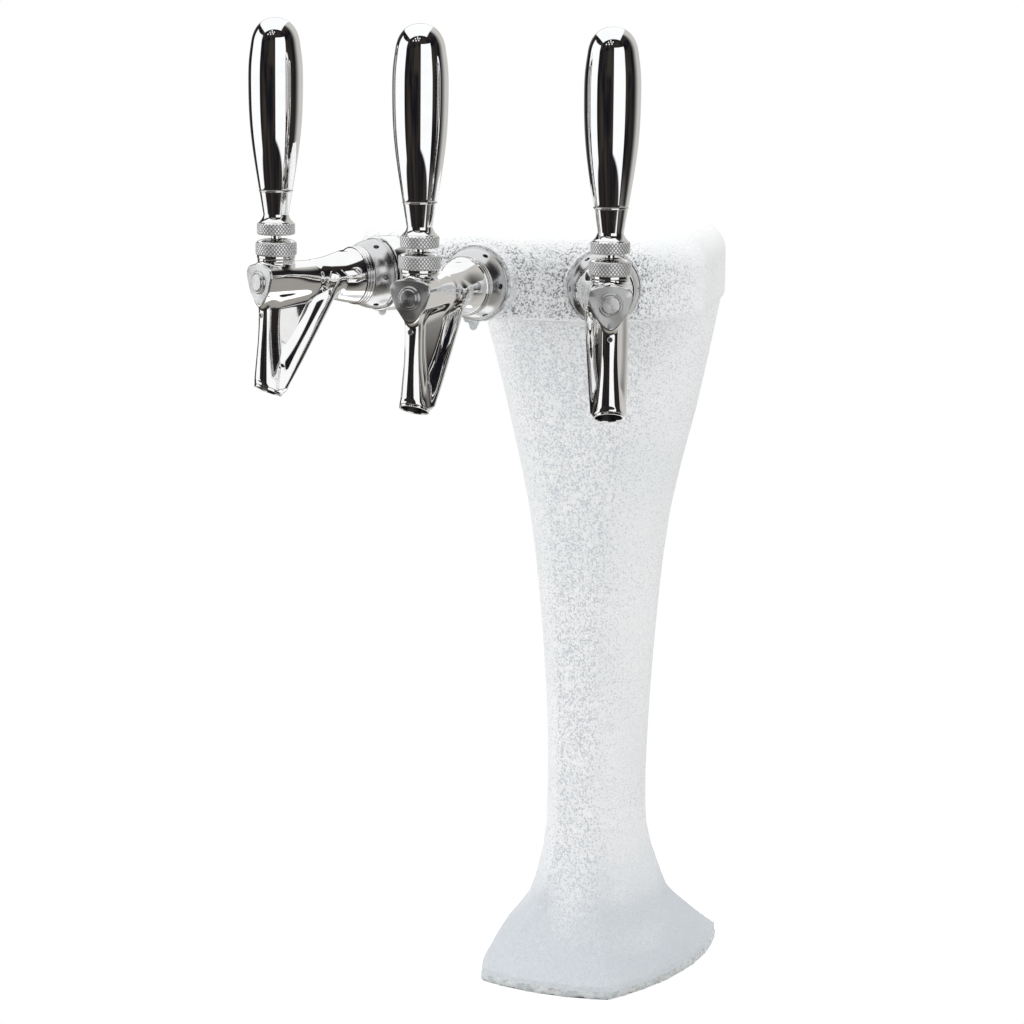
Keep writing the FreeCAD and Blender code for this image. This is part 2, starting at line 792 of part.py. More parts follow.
def pipe_shape(points, turn):
    """A pipe of the lines' radius and bore along a path."""
    path = path_wire(points, turn)
    heading = points[1] - points[0]
    layers = [Part.Wire(Part.makeCircle(float(radius), points[0], heading)).copy()
              for radius in (d.pipe_radius, d.pipe_bore)]
    outer, inner = [path.makePipeShell([layer], True, False) for layer in layers]
    return outer.cut(inner)


def line_x(side):
    return d.line_spread * side


def make_beer_line(name, side):
    angle = math.radians(float(d.fan_angle * side))
    outward = Vector(math.sin(angle), -math.cos(angle), 0)
    hub = in_plane(0, d.fan_centre, shank_height)
    foot = in_plane(line_x(side), d.line_y, d.pipe_start)
    top = in_plane(line_x(side), d.line_y, shank_height)
    join = hub + outward * float(d.line_join)
    tail = hub + outward * float(d.fan_radius - d.shank_tail)
    points = [foot, top, join, tail] if side else [foot, top, tail]
    keep(shaped(pipe_shape(points, float(d.line_turn_radius))), "beer_line_" + name)


def make_coolant_loop():
    """Up one side of the column, across the top of the chill block and down the other side."""
    rise = float(shank_height + d.block_high + d.pipe_radius + d.seat_gap)
    half, front = float(d.coolant_half), float(d.coolant_front_half)
    front_y = d.fan_centre - wall_radius + d.coolant_setback
    right = [in_plane(half, d.coolant_y, d.pipe_start), in_plane(half, d.coolant_y, rise),
             in_plane(front, front_y, rise)]
    left = [Vector(-p.x, p.y, p.z) for p in reversed(right)]
    keep(shaped(pipe_shape(right + left, float(d.coolant_turn_radius))), "coolant_loop")


def make_line_clips():
    """Two plates across the inside of the column that hold the five pipes."""
    inside = column_solid(float(d.column_wall + d.seat_gap), "toe", float(d.toe_height), float(head_floor))
    reach = 2 * float(d.rim_back_half)
    pipes = [(float(line_x(side)), float(d.line_y)) for name, side in TAPS]
    pipes += mirrored_points((d.coolant_half, d.coolant_y))
    clips = []
    for height in (float(d.clip_low), float(d.clip_high)):
        top = height + float(d.clip_thickness)
        slab = inside.common(plain_box(-reach, reach, -reach, reach, height, top))
        holes = upright_cylinders(pipes, float(d.pipe_radius + d.seat_gap), height - PAST, top + PAST)
        clips.append(slab.cut(holes))
    keep(shaped(Part.makeCompound(clips)), "line_clips")


# ---------------------------------------------------------------- one tap: what is fixed to the tower

faucet_rear = d.boss_front + d.seal_thickness
flange_front = faucet_rear + d.spigot_flange_thickness


def make_shank(name, side):
    tail_end = -d.shank_tail
    shoulder = tail_end + d.tail_length
    shank = turned([
        (d.shank_bore, tail_end), (d.tail_radius, tail_end), (d.tail_radius, shoulder),
        (d.thread_radius, shoulder), (d.thread_radius, 0), (d.flange_radius, 0),
        (d.flange_radius, d.flange_thickness), (d.shank_boss, d.flange_thickness),
        (d.shank_boss, d.boss_front), (d.shank_bore, d.boss_front),
    ], upright=False)
    keep(put_on_tap(shank, side), "shank_" + name)


def make_wall_collar(name, side):
    """The round seat between the coupling nut and the head, its back cut to the head's arc."""
    bore, edge = d.thread_radius + d.seat_gap, d.collar_edge
    ring = turned([
        (bore, -d.collar_back), (d.collar_radius, -d.collar_back), (d.collar_radius, -edge),
        (d.collar_radius - edge, 0), (bore, 0),
    ], upright=False)
    arc = doc.addObject("Part::Cylinder", "head_arc")
    bind(arc, Radius=wall_radius, Height=d.collar_radius * 4)
    put(arc, 0, -d.fan_radius, -d.collar_radius * 2)
    keep(put_on_tap(cut(ring, arc), side), "wall_collar_" + name)


def make_shank_nut(name, side):
    prism = doc.addObject("Part::Prism", "hexagon")
    prism.Polygon = 6
    bind(prism, Circumradius=d.nut_radius, Height=d.nut_thickness)
    bore = rod(d.thread_radius + d.seat_gap, -PAST, d.nut_thickness + PAST)
    nut = cut(prism, bore)
    angle = d.fan_angle * side
    reach = block_seat
    nut.Placement = Placement(Vector(0, 0, 0), Rotation(Z_AXIS, float(angle)) * Rotation(X_AXIS, -90))
    bind(nut, Placement__Base__x=sine(angle) * reach,
         Placement__Base__y=d.fan_centre - cosine(angle) * reach, Placement__Base__z=shank_height)
    keep(nut, "shank_nut_" + name)


def make_coupling_nut(name, side):
    """The domed nut that draws the faucet onto the shank, with pin-spanner holes round it."""
    back = d.nut_rim_start
    thread = d.shank_boss + d.seat_gap
    lip_back = d.lip_front - d.lip_thickness
    rise, swell = d.lip_front - d.rim_width, d.dome_radius - d.lip_radius
    dome = [(d.lip_radius + swell * out, d.rim_width + rise * up) for out, up in DOME_SECTIONS]
    flange, seat = d.flange_radius + d.seat_gap, d.flange_thickness + d.seat_gap
    spigot = d.spigot_radius + d.seat_gap
    shell = turned([
        (flange, back), (d.rim_radius, back), (d.rim_radius, d.rim_width),
        (d.dome_radius, d.rim_width + d.rim_step), *dome, (d.lip_radius, d.lip_front),
        (spigot, d.lip_front), (spigot, lip_back), (thread, lip_back), (thread, seat), (flange, seat),
    ], upright=False)
    holes = []
    count = int(float(d.spanner_count))
    for index in range(count):
        turn = FULL_TURN / count * (index + 0.5)
        hole = doc.addObject("Part::Cylinder", "spanner_hole")
        bind(hole, Radius=d.spanner_hole, Height=d.spanner_depth * 3)
        reach = d.dome_radius - d.spanner_depth
        hole.Placement = Placement(Vector(0, 0, 0), Rotation(Y_AXIS, turn))
        bind(hole, Placement__Base__x=reach * math.sin(math.radians(turn)),
             Placement__Base__y=d.spanner_station, Placement__Base__z=reach * math.cos(math.radians(turn)))
        holes.append(hole)
    keep(put_on_tap(cut(shell, *holes), side), "coupling_nut_" + name)


def make_faucet_seal(name, side):
    washer = turned([
        (d.seal_bore, d.boss_front), (d.seal_radius, d.boss_front), (d.seal_radius, faucet_rear),
        (d.seal_bore, faucet_rear),
    ], upright=False)
    keep(put_on_tap(washer, side), "faucet_seal_" + name)


# ---------------------------------------------------------------- one tap: the faucet body

def trefoil(station, radius, lobe, point):
    """A rounded triangle that points down, across the shank's axis; no lobe and no point give a circle."""
    corners = []
    for index in range(TREFOIL_POINTS):
        angle = 2 * math.pi * index / TREFOIL_POINTS
        reach = radius * (1 + lobe * math.cos(3 * angle) + point * math.cos(6 * angle))
        corners.append(Vector(reach * math.sin(angle), station, -reach * math.cos(angle)))
    curve = Part.BSplineCurve()
    curve.interpolate(corners, PeriodicFlag=True)
    return Part.Wire(curve.toShape())


def oval(station, height, half_width, half_depth, tilt):
    """An ellipse across a leg of the spout; tilt, in degrees, leans its plane up towards the front."""
    lean = math.radians(tilt)
    along = Vector(0, math.cos(lean), math.sin(lean))
    centre = Vector(0, station, height)
    turns = [2 * math.pi * index / OVAL_POINTS for index in range(OVAL_POINTS)]
    ring = [centre + X_AXIS * (half_width * math.cos(turn)) + along * (half_depth * math.sin(turn))
            for turn in turns]
    curve = Part.BSplineCurve()
    curve.interpolate(ring, PeriodicFlag=True)
    return Part.Wire(curve.toShape())


def blend(start, end, share):
    return start + (end - start) * share


def faucet_rear_end():
    """The flange that the coupling nut holds, the ribbed bell and its curve in to the barrel."""
    bell, rib = float(d.bell_radius), float(d.rib_drop)
    start, pitch = float(d.bell_start), float(d.rib_pitch)
    rear, front = float(faucet_rear), float(flange_front)
    last = start + 2 * pitch
    second, waist = start + pitch, bell - rib / 2
    corners = [(0, rear), (float(d.spigot_flange), rear), (float(d.spigot_flange), front),
               (float(d.spigot_radius), front), (float(d.spigot_radius), start), (bell, start),
               (bell, second - rib), (bell - rib, second), (waist, second + rib), (waist, last - rib),
               (bell - 2 * rib, last)]
    points = [Vector(r, u, 0) for r, u in corners]
    throat = Vector(float(d.throat_radius), float(d.throat_station), 0)
    middle = Vector(blend(bell, throat.x, BELL_BEND[0]), blend(last, throat.y, BELL_BEND[1]), 0)
    inward = Vector(-BELL_SLOPE, 1, 0)
    sweep = Part.BSplineCurve()
    sweep.interpolate([points[-1], middle, throat], Tangents=[inward, inward, Y_AXIS],
                      TangentFlags=[True, False, True])
    edges = [Part.LineSegment(points[i], points[i + 1]).toShape() for i in range(len(points) - 1)]
    edges.append(sweep.toShape())
    inside = Vector(0, throat.y, 0)
    edges += [Part.LineSegment(throat, inside).toShape(), Part.LineSegment(inside, points[0]).toShape()]
    return Part.Face(Part.Wire(edges)).revolve(Vector(0, 0, 0), Y_AXIS, FULL_TURN)


def faucet_barrel():
    """Round at the throat and a rounded triangle at the face."""
    throat, face = float(d.throat_station), float(d.face_station)
    sections = []
    for share, shape in BARREL_SECTIONS:
        sections.append(trefoil(blend(throat, face, share) - (0 if share else PAST),
                                blend(float(d.throat_radius), float(d.face_radius), shape),
                                float(d.face_lobe) * shape, float(d.face_point) * shape))
    return Part.makeLoft(sections, True, False)


def outlet_line():
    """The middle of the spout's mouth, the way that it points and the way across it towards the front."""
    lean = math.radians(float(d.spout_tilt))
    tip = Vector(0, float(d.spout_reach), -float(d.spout_drop))
    return tip, Vector(0, math.sin(lean), -math.cos(lean)), Vector(0, math.cos(lean), math.sin(lean))


def front_leg(foot):
    """The narrow leg that drops from the barrel's face and swells into the outlet, down to foot."""
    radius, tilt = float(d.spout_radius), float(d.spout_tilt)
    half_width, half_depth = float(d.leg_half_width), float(d.leg_half_depth)
    sections = []
    for share, width, depth in LEG_SECTIONS:
        height = blend(-float(d.neck_radius), foot.z, share)
        reach = blend(float(d.leg_reach), foot.y, share * share)
        sections.append(oval(reach, height, half_width * width, half_depth * depth, tilt * share))
    sections.append(oval(foot.y, foot.z, radius * LEG_FOOT[1], radius * LEG_FOOT[2], tilt))
    return Part.makeLoft(sections, True, False)


def rear_duct(head, foot):
    """The wide duct from the throat down to the outlet, between two middles."""
    radius, tilt = float(d.spout_radius), float(d.spout_tilt)
    half_width, half_depth = float(d.duct_half_width), float(d.duct_half_depth)
    slope = math.degrees(math.atan2(foot.y - head.y, -foot.z))
    sections = []
    for share, width, depth in DUCT_SECTIONS:
        middle = head + (foot - head) * share
        lean = slope * (1 - share / 3)
        sections.append(oval(middle.y, middle.z, half_width * width, half_depth * depth, lean))
    sections.append(oval(foot.y, foot.z, radius * DUCT_FOOT[1], radius * DUCT_FOOT[2], tilt))
    return Part.makeLoft(sections, True, False)


def spout_web(duct_head, leg_foot, duct_foot):
    """The side walls between the front leg and the rear duct, wider apart behind than in front."""
    front, rear = float(d.web_front_half), float(d.web_rear_half)
    root = -float(d.barrel_bore + d.web_cover)
    share = (root - duct_head.z) / (duct_foot.z - duct_head.z)
    corner = duct_head + (duct_foot - duct_head) * share

    def section(leg_u, leg_z, duct_u, duct_z):
        corners = [Vector(-front, leg_u, leg_z), Vector(front, leg_u, leg_z), Vector(rear, duct_u, duct_z),
                   Vector(-rear, duct_u, duct_z)]
        return Part.makePolygon(corners + corners[:1])

    top = section(float(d.leg_reach), root, corner.y, corner.z)
    bottom = section(leg_foot.y, leg_foot.z, duct_foot.y, duct_foot.z)
    return Part.makeLoft([top, bottom], True, True)


def spout_pieces():
    """The front leg, the rear duct, the walls between them and the ring that joins them at the outlet."""
    tip, down, ahead = outlet_line()
    radius = float(d.spout_radius)
    leg_foot, duct_foot = tip + ahead * (radius * LEG_FOOT[0]), tip - ahead * (radius * DUCT_FOOT[0])
    duct_head = Vector(0, float(d.duct_start), -float(d.duct_drop))
    ring = Part.makeCone(radius, radius * float(d.outlet_taper), float(d.outlet_ring), tip, down * -1)
    web = spout_web(duct_head, leg_foot, duct_foot)
    return front_leg(leg_foot), rear_duct(duct_head, duct_foot), web, ring


def faucet_shape():
    neck = in_plane(0, d.neck_station)
    rear, face = float(faucet_rear), float(d.face_station)
    solid = faucet_rear_end().fuse(faucet_barrel())
    for piece in spout_pieces():
        solid = solid.fuse(piece)
    solid = solid.fuse(Part.makeCylinder(float(d.neck_radius), float(d.neck_top), neck))
    solid = solid.fuse(Part.makeCylinder(float(d.neck_thread), float(d.neck_thread_top), neck))

    def bore(radius, start, end):
        start, end = float(start), float(end)
        return Part.makeCylinder(float(radius), end - start, Vector(0, start, 0), Y_AXIS)

    solid = solid.cut(bore(d.rear_bore, rear - PAST, d.seat_rear))
    solid = solid.cut(bore(d.seat_bore, rear, d.seat_front))
    solid = solid.cut(bore(d.barrel_bore, d.seat_front, face + PAST))
    solid = solid.cut(Part.makeCylinder(float(d.neck_bore), float(d.neck_thread_top) + PAST, neck))
    recess_depth = float(d.neck_thread_top - d.washer_floor)
    solid = solid.cut(Part.makeCylinder(float(d.washer_recess), recess_depth + PAST,
                                        neck + Z_AXIS * float(d.washer_floor)))
    tip, down, ahead = outlet_line()
    mouth, mouth_depth = float(d.spout_radius - d.spout_wall), float(d.spout_mouth_depth)
    solid = solid.cut(Part.makeCylinder(mouth, PAST, tip, down))
    solid = solid.cut(Part.makeCone(mouth, mouth * float(d.mouth_taper), mouth_depth, tip, down * -1))
    top = Vector(0, float(d.duct_start), 0)
    bottom = tip - down * (mouth_depth / 2) - ahead * (float(d.spout_radius) * DUCT_FOOT[0])
    solid = solid.cut(Part.makeCylinder(float(d.duct_bore), (bottom - top).Length, top, bottom - top))
    vent = Vector(0, float(d.leg_reach), -float(d.vent_drop))
    return solid.cut(Part.makeCylinder(float(d.vent_radius), float(d.leg_half_depth) * 2, vent, Y_AXIS))


def make_faucet_body(name, side):
    keep(put_on_tap(shaped(faucet_shape()), side), "faucet_body_" + name)


def make_front_plug(name, side):
    """The turned plug that closes the barrel's face."""
    step, edge = d.face_station + d.plug_ring_step, d.plug_edge
    boss = d.face_station + d.plug_face_step
    plug_radius = d.barrel_bore - d.running_gap
    ring, face = d.plug_ring_radius, d.plug_face_radius
    plug = turned([
        (0, d.plug_rear), (plug_radius, d.plug_rear), (plug_radius, d.face_station), (ring, d.face_station),
        (ring, step - edge), (ring - edge, step), (face + edge, step), (face, step - edge),
        (face, boss - edge), (face - edge, boss), (0, boss),
    ], upright=False)
    keep(put_on_tap(plug, side), "front_plug_" + name)


# ---------------------------------------------------------------- one tap: valve, lever and handle

def make_valve_shaft(name, side):
    piston = d.barrel_bore - d.running_gap
    head_front = d.rod_rear + d.rod_head_length
    shaft = turned([
        (0, d.rod_rear), (d.rod_head_radius, d.rod_rear), (d.rod_head_radius, head_front),
        (d.rod_radius, head_front), (d.rod_radius, d.piston_rear), (piston, d.piston_rear),
        (piston, d.piston_front), (0, d.piston_front),
    ], upright=False)
    back = d.neck_station - d.slot_half_length
    front = d.neck_station + d.slot_half_length
    half = d.slot_half_width
    slot = box(-half, half, back, front, -d.slot_depth, piston + PAST)
    flare = box(-half, half, back, front + d.slot_flare, d.slot_step, piston + PAST)
    keep(put_on_tap(cut(shaft, slot, flare), side), "valve_shaft_" + name)


def make_valve_seal(name, side):
    back = d.rod_rear + d.rod_head_length
    front = d.seat_rear - d.running_gap
    bore = d.rod_radius + d.running_gap
    seal = turned([(bore, back), (d.valve_seal_radius, back), (d.valve_seal_radius, front), (bore, front)],
                  upright=False)
    keep(put_on_tap(seal, side), "valve_seal_" + name)


def make_ball_washer(name, side):
    washer = turned([
        (d.washer_bore, d.washer_floor), (d.washer_radius, d.washer_floor), (d.washer_radius, d.washer_top),
        (d.washer_bore, d.washer_top),
    ])
    keep(put_on_tap(washer, side, d.neck_station), "ball_washer_" + name)


def make_bonnet(name, side):
    """The knurled cap that holds the lever's ball."""
    thread = d.neck_thread + d.seat_gap
    inside_top = d.neck_thread_top + 2 * d.seat_gap
    edge = d.bonnet_edge
    shell = turned([
        (thread, d.bonnet_bottom), (d.bonnet_skirt, d.bonnet_bottom), (d.bonnet_skirt, d.knurl_bottom - edge),
        (d.bonnet_radius, d.knurl_bottom), (d.bonnet_radius, d.knurl_top),
        (d.bonnet_radius - d.bonnet_shoulder, d.knurl_top + edge), (d.bonnet_crown, d.bonnet_top),
        (d.mouth_radius, d.bonnet_top), (d.mouth_throat, d.mouth_height), (d.mouth_throat, inside_top),
        (thread, inside_top),
    ])
    clear = d.ball_radius + d.running_gap
    cavity = ball(clear, d.pivot_height)
    entry = rod(clear, inside_top - d.seat_gap, d.pivot_height)
    keep(put_on_tap(cut(shell, cavity, entry), side, d.neck_station), "bonnet_" + name)


def make_lever(name, side):
    """The ball lever: an arm down into the shaft's slot and a stem up into the handle."""
    arm = rod(d.arm_radius, d.tip_height, d.pivot_height)
    stem = rod(d.stem_radius, d.pivot_height, d.stem_top)
    lever = fused(ball(d.ball_radius, d.pivot_height), ball(d.tip_radius, d.tip_height), arm, stem)
    keep(put_on_tap(lever, side, d.neck_station), "lever_" + name)


def make_jam_nut(name, side):
    bore = d.stem_radius + d.running_gap
    rim = d.jam_radius - d.jam_chamfer
    nut = turned([
        (bore, d.jam_bottom), (rim, d.jam_bottom), (d.jam_radius, d.jam_bottom + d.jam_chamfer),
        (d.jam_radius, d.jam_knurl_top), (rim, d.jam_knurl_top + d.jam_chamfer / 2), (d.jam_neck, d.jam_top),
        (bore, d.jam_top),
    ])
    keep(put_on_tap(nut, side, d.neck_station), "jam_nut_" + name)


def make_ferrule(name, side):
    bore = d.stem_radius + d.running_gap
    lip = d.ferrule_top - d.ferrule_lip
    ferrule = turned([
        (bore, d.jam_top), (d.ferrule_bottom, d.jam_top), (d.ferrule_bottom, d.jam_top + d.ferrule_lip),
        (d.ferrule_radius, lip), (d.handle_foot, lip + d.jam_chamfer / 2), (d.handle_foot, d.ferrule_top),
        (bore, d.ferrule_top),
    ])
    keep(put_on_tap(ferrule, side, d.neck_station), "ferrule_" + name)


def handle_solid(inset, low):
    """The handle's turned form, drawn in by inset and started at height low."""
    foot, top = float(d.ferrule_top), float(d.handle_top) - inset
    hips = [(float(d.handle_hip), float(d.handle_hip_height)),
            (float(d.handle_widest), float(d.handle_widest_height)),
            (float(d.handle_brow), float(d.handle_brow_height) - inset / 2)]
    share = (low - foot) / (hips[0][1] - foot)
    start = Vector(blend(float(d.handle_foot), hips[0][0], share) - inset, 0, low)
    curve = Part.BSplineCurve()
    points = [start] + [Vector(r - inset, 0, h) for r, h in hips] + [Vector(0, 0, top)]
    loose = Vector(0, 0, 1)
    curve.interpolate(points, Tangents=[Vector(0.18, 0, 1), loose, loose, loose, Vector(-1, 0, 0)],
                      TangentFlags=[True, False, False, False, True])
    base = Vector(0, 0, low)
    edges = [Part.LineSegment(base, start).toShape(), curve.toShape(),
             Part.LineSegment(points[-1], base).toShape()]
    return Part.Face(Part.Wire(edges)).revolve(Vector(0, 0, 0), Z_AXIS, FULL_TURN)


def make_handle(name, side):
    foot = float(d.ferrule_top)
    hollow = handle_solid(float(d.handle_wall), foot + float(d.handle_root))
    socket = float(d.stem_top + d.seat_gap) - foot
    bore = Part.makeCylinder(float(d.stem_radius + d.running_gap), socket, Vector(0, 0, foot))
    handle = shaped(handle_solid(0, foot).cut(hollow).cut(bore))
    keep(put_on_tap(handle, side, d.neck_station), "handle_" + name)


TAP_MAKERS = (make_wall_collar, make_shank, make_shank_nut, make_coupling_nut, make_faucet_seal,
              make_faucet_body, make_front_plug, make_valve_shaft, make_valve_seal, make_ball_washer,
              make_bonnet, make_lever, make_jam_nut, make_ferrule, make_handle)


def check_and_export():
    """Every object must be sound before any file is written."""
    doc.recompute()
    for obj in doc.Objects:
        if "Invalid" in obj.State or "Error" in obj.State:
            raise RuntimeError(obj.Name + " (" + obj.Label + ") failed to recompute")
    for obj in sub_parts:
        if obj.Shape.isNull() or not obj.Shape.isValid():
            raise RuntimeError(obj.Label + " has no valid shape")
    os.makedirs(OUT_DIR, exist_ok=True)
    for obj in sub_parts:
        obj.Shape.exportStep(os.path.join(OUT_DIR, obj.Label + ".step"))
        print(obj.Label, len(obj.Shape.Solids), round(obj.Shape.Volume, 1))


def main():
    make_base()
    make_column()
    make_head()
    make_underside_cover()
    make_chill_block()
    make_coolant_loop()
    make_line_clips()
    for name, side in TAPS:
        make_beer_line(name, side)
        for make in TAP_MAKERS:
            make(name, side)
    check_and_export()


main()
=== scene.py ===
"""The looks of a three-tap drink tower: frost on its casting, polished taps, and a plain white studio.

Every piece is in metres in the CAD frame. Shapes are worked out in millimetres and scaled once, when their
mesh is made. A tap's pieces are modelled in the tap's own frame: +Y outward along the shank, +Z up, and the
origin on the shank's axis at the rim of the coupling nut.
"""
import json
import math

import bmesh
import bpy
import numpy as np
from mathutils import Matrix, Vector
from mathutils.bvhtree import BVHTree


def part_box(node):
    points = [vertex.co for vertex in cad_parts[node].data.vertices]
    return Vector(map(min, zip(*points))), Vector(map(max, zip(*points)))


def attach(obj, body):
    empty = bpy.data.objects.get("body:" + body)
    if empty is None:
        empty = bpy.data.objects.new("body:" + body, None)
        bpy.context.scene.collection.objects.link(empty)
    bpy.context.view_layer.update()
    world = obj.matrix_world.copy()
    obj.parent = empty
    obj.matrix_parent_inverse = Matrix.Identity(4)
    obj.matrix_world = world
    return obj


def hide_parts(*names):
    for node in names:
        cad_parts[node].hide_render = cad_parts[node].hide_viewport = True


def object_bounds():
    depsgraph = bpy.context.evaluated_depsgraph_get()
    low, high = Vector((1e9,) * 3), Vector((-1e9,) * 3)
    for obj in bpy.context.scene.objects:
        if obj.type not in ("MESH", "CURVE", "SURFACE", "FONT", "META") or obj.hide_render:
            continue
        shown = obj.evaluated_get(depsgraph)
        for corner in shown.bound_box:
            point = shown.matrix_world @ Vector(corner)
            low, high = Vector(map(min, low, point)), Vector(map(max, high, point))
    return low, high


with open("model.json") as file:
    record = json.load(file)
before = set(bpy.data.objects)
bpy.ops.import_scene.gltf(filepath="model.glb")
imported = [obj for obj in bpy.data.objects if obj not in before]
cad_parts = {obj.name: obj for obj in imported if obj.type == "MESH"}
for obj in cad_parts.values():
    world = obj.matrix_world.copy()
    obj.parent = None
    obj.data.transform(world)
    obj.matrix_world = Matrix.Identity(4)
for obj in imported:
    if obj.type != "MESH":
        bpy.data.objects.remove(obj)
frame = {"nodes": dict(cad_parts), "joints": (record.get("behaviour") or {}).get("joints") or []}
cad_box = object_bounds()

MM = 0.001
TOWER = "tower"
TAPS = ("left", "middle", "right")


def linked(name, data):
    """A new object in the scene."""
    made = bpy.data.objects.new(name, data)
    bpy.context.scene.collection.objects.link(made)
    return made


# ---------------------------------------------------------------- camera

CAMERA_PLACE = Vector((0.9229, -2.1152, 0.7416))
CAMERA_AIM = Vector((-0.41732, 0.89077, -0.17990))
CAMERA_ROLL = math.radians(0.54)
CAMERA_LENS = 118.98
SENSOR = 36.0


def make_camera():
    data = bpy.data.cameras.new("camera")
    data.sensor_width = SENSOR
    data.lens = CAMERA_LENS
    camera = linked("camera", data)
    turn = CAMERA_AIM.to_track_quat("-Z", "Y").to_matrix().to_4x4()
    camera.matrix_world = Matrix.Translation(CAMERA_PLACE) @ turn @ Matrix.Rotation(CAMERA_ROLL, 4, "Z")
    bpy.context.scene.camera = camera


# ---------------------------------------------------------------- shader graphs

MIX_SHARE, MIX_FIRST, MIX_SECOND, MIX_RESULT = 0, 6, 7, 2    # a Mix node's sockets when it mixes colours
QUARTER_TURN = 0.25


class Graph:
    """A node tree, with short calls for the nodes that the materials use."""

    def __init__(self, tree):
        self.tree = tree
        tree.nodes.clear()

    def add(self, kind, inputs=None, **settings):
        node = self.tree.nodes.new(kind)
        for key, value in settings.items():
            setattr(node, key, value)
        for key, value in (inputs or {}).items():
            if isinstance(value, bpy.types.NodeSocket):
                self.tree.links.new(value, node.inputs[key])
            else:
                node.inputs[key].default_value = value
        return node

    def place(self):
        """Coordinates in the piece's own frame, in metres."""
        return self.add("ShaderNodeTexCoord").outputs["Object"]

    def split(self, vector):
        return self.add("ShaderNodeSeparateXYZ", {"Vector": vector}).outputs

    def vector(self, x=0.0, y=0.0, z=0.0):
        return self.add("ShaderNodeCombineXYZ", {"X": x, "Y": y, "Z": z}).outputs[0]

    def maths(self, operation, *values):
        return self.add("ShaderNodeMath", dict(enumerate(values)), operation=operation).outputs[0]

    def chain(self, operation, total, *values):
        """The operation taken along a row of values."""
        for value in values:
            total = self.maths(operation, total, value)
        return total

    def sum(self, *values):
        return self.chain("ADD", *values)

    def product(self, *values):
        return self.chain("MULTIPLY", *values)

    def most(self, *values):
        return self.chain("MAXIMUM", *values)

    def dot(self, a, b):
        return self.add("ShaderNodeVectorMath", {0: a, 1: b}, operation="DOT_PRODUCT").outputs["Value"]

    def ease(self, value, low, high, to_low=0.0, to_high=1.0):
        """A smooth step from to_low at low to to_high at high."""
        inputs = {"Value": value, "From Min": low, "From Max": high, "To Min": to_low, "To Max": to_high}
        return self.add("ShaderNodeMapRange", inputs, interpolation_type="SMOOTHSTEP").outputs["Result"]

    def band(self, value, low, high, soft):
        """One between low and high, with soft edges."""
        rise = self.ease(value, low - soft, low + soft)
        fall = self.ease(value, high - soft, high + soft, 1.0, 0.0)
        return self.product(rise, fall)

    def noise(self, scale, detail=2.0, vector=None, roughness=0.5):
        inputs = {"Scale": scale, "Detail": detail, "Roughness": roughness,
                  "Vector": vector if vector is not None else self.place()}
        return self.add("ShaderNodeTexNoise", inputs).outputs["Fac"]

    def mix(self, share, a, b):
        inputs = {MIX_SHARE: share, MIX_FIRST: a, MIX_SECOND: b}
        return self.add("ShaderNodeMix", inputs, data_type="RGBA").outputs[MIX_RESULT]

    def bump(self, height, strength, distance, normal=None):
        inputs = {"Height": height, "Strength": strength, "Distance": distance}
        if normal is not None:
            inputs["Normal"] = normal
        return self.add("ShaderNodeBump", inputs).outputs[0]

    def cells(self, scale):
        """Distance to the nearest of the scattered points of a cell pattern."""
        return self.add("ShaderNodeTexVoronoi", {"Scale": scale, "Vector": self.place()}).outputs["Distance"]

    def attribute(self, name):
        return self.add("ShaderNodeAttribute", attribute_name=name).outputs["Fac"]

    def finish(self, inputs, settings=()):
        """The surface shader and the output; inputs may be linked, settings are plain numbers."""
        shader = self.add("ShaderNodeBsdfPrincipled", inputs)
        for key, value in dict(settings).items():
            shader.inputs[key].default_value = value
        self.add("ShaderNodeOutputMaterial", {"Surface": shader.outputs[0]})


def material(name):
    made = bpy.data.materials.new(name)
    made.use_nodes = True
    return made, Graph(made.node_tree)


def grey(value, warm=0.0):
    """A grey, warmer where warm is above zero and cooler below it."""
    return (value * (1 + warm), value, value * (1 - warm), 1.0)


def shade(tint, share):
    """A colour taken down to a share of its brightness."""
    return tuple(share * part for part in tint[:3]) + (1.0,)


def polished(name, tint, rough, haze, ripple):
    """Mirror plate: faint haze in patches, and a very slight ripple from the polishing."""
    made, g = material(name)
    patches = g.noise(90.0, 4.0)
    dust = g.noise(1400.0, 2.0)
    roughness = g.sum(g.ease(patches, 0.35, 0.75, rough, rough + haze), g.ease(dust, 0.62, 0.8, 0.0, haze))
    colour = g.mix(g.ease(patches, 0.3, 0.8), tint, shade(tint, 0.96))
    normal = g.bump(g.noise(55.0, 1.0), 1.0, ripple * MM)
    g.finish({"Base Color": colour, "Roughness": roughness, "Normal": normal}, {"Metallic": 1.0})
    return made


def turned_metal(name, tint, rough, grooves, depth, rings=False, stretch=0.0):
    """Satin metal with fine grooves round the Y axis or, with rings, outward from it.

    Stretch draws the highlights out across the grooves, as lathe marks do.
    """
    made, g = material(name)
    x, y, z = g.split(g.place())
    reach = y
    if rings:
        reach = g.maths("SQRT", g.sum(g.product(x, x), g.product(z, z)))
    lines = g.noise(grooves, 3.0, g.vector(reach), 0.8)
    patches = g.noise(120.0, 3.0)
    colour = g.mix(lines, shade(tint, 0.88), tint)
    roughness = g.ease(patches, 0.3, 0.8, rough, rough + 0.06)
    normal = g.bump(lines, 1.0, depth * MM)
    inputs = {"Base Color": colour, "Roughness": roughness, "Normal": normal}
    if stretch:
        inputs["Tangent"] = g.add("ShaderNodeTangent", direction_type="RADIAL", axis="Y").outputs[0]
    turn = QUARTER_TURN if rings else 0.0
    g.finish(inputs, {"Metallic": 1.0, "Anisotropic": stretch, "Anisotropic Rotation": turn})
    return made


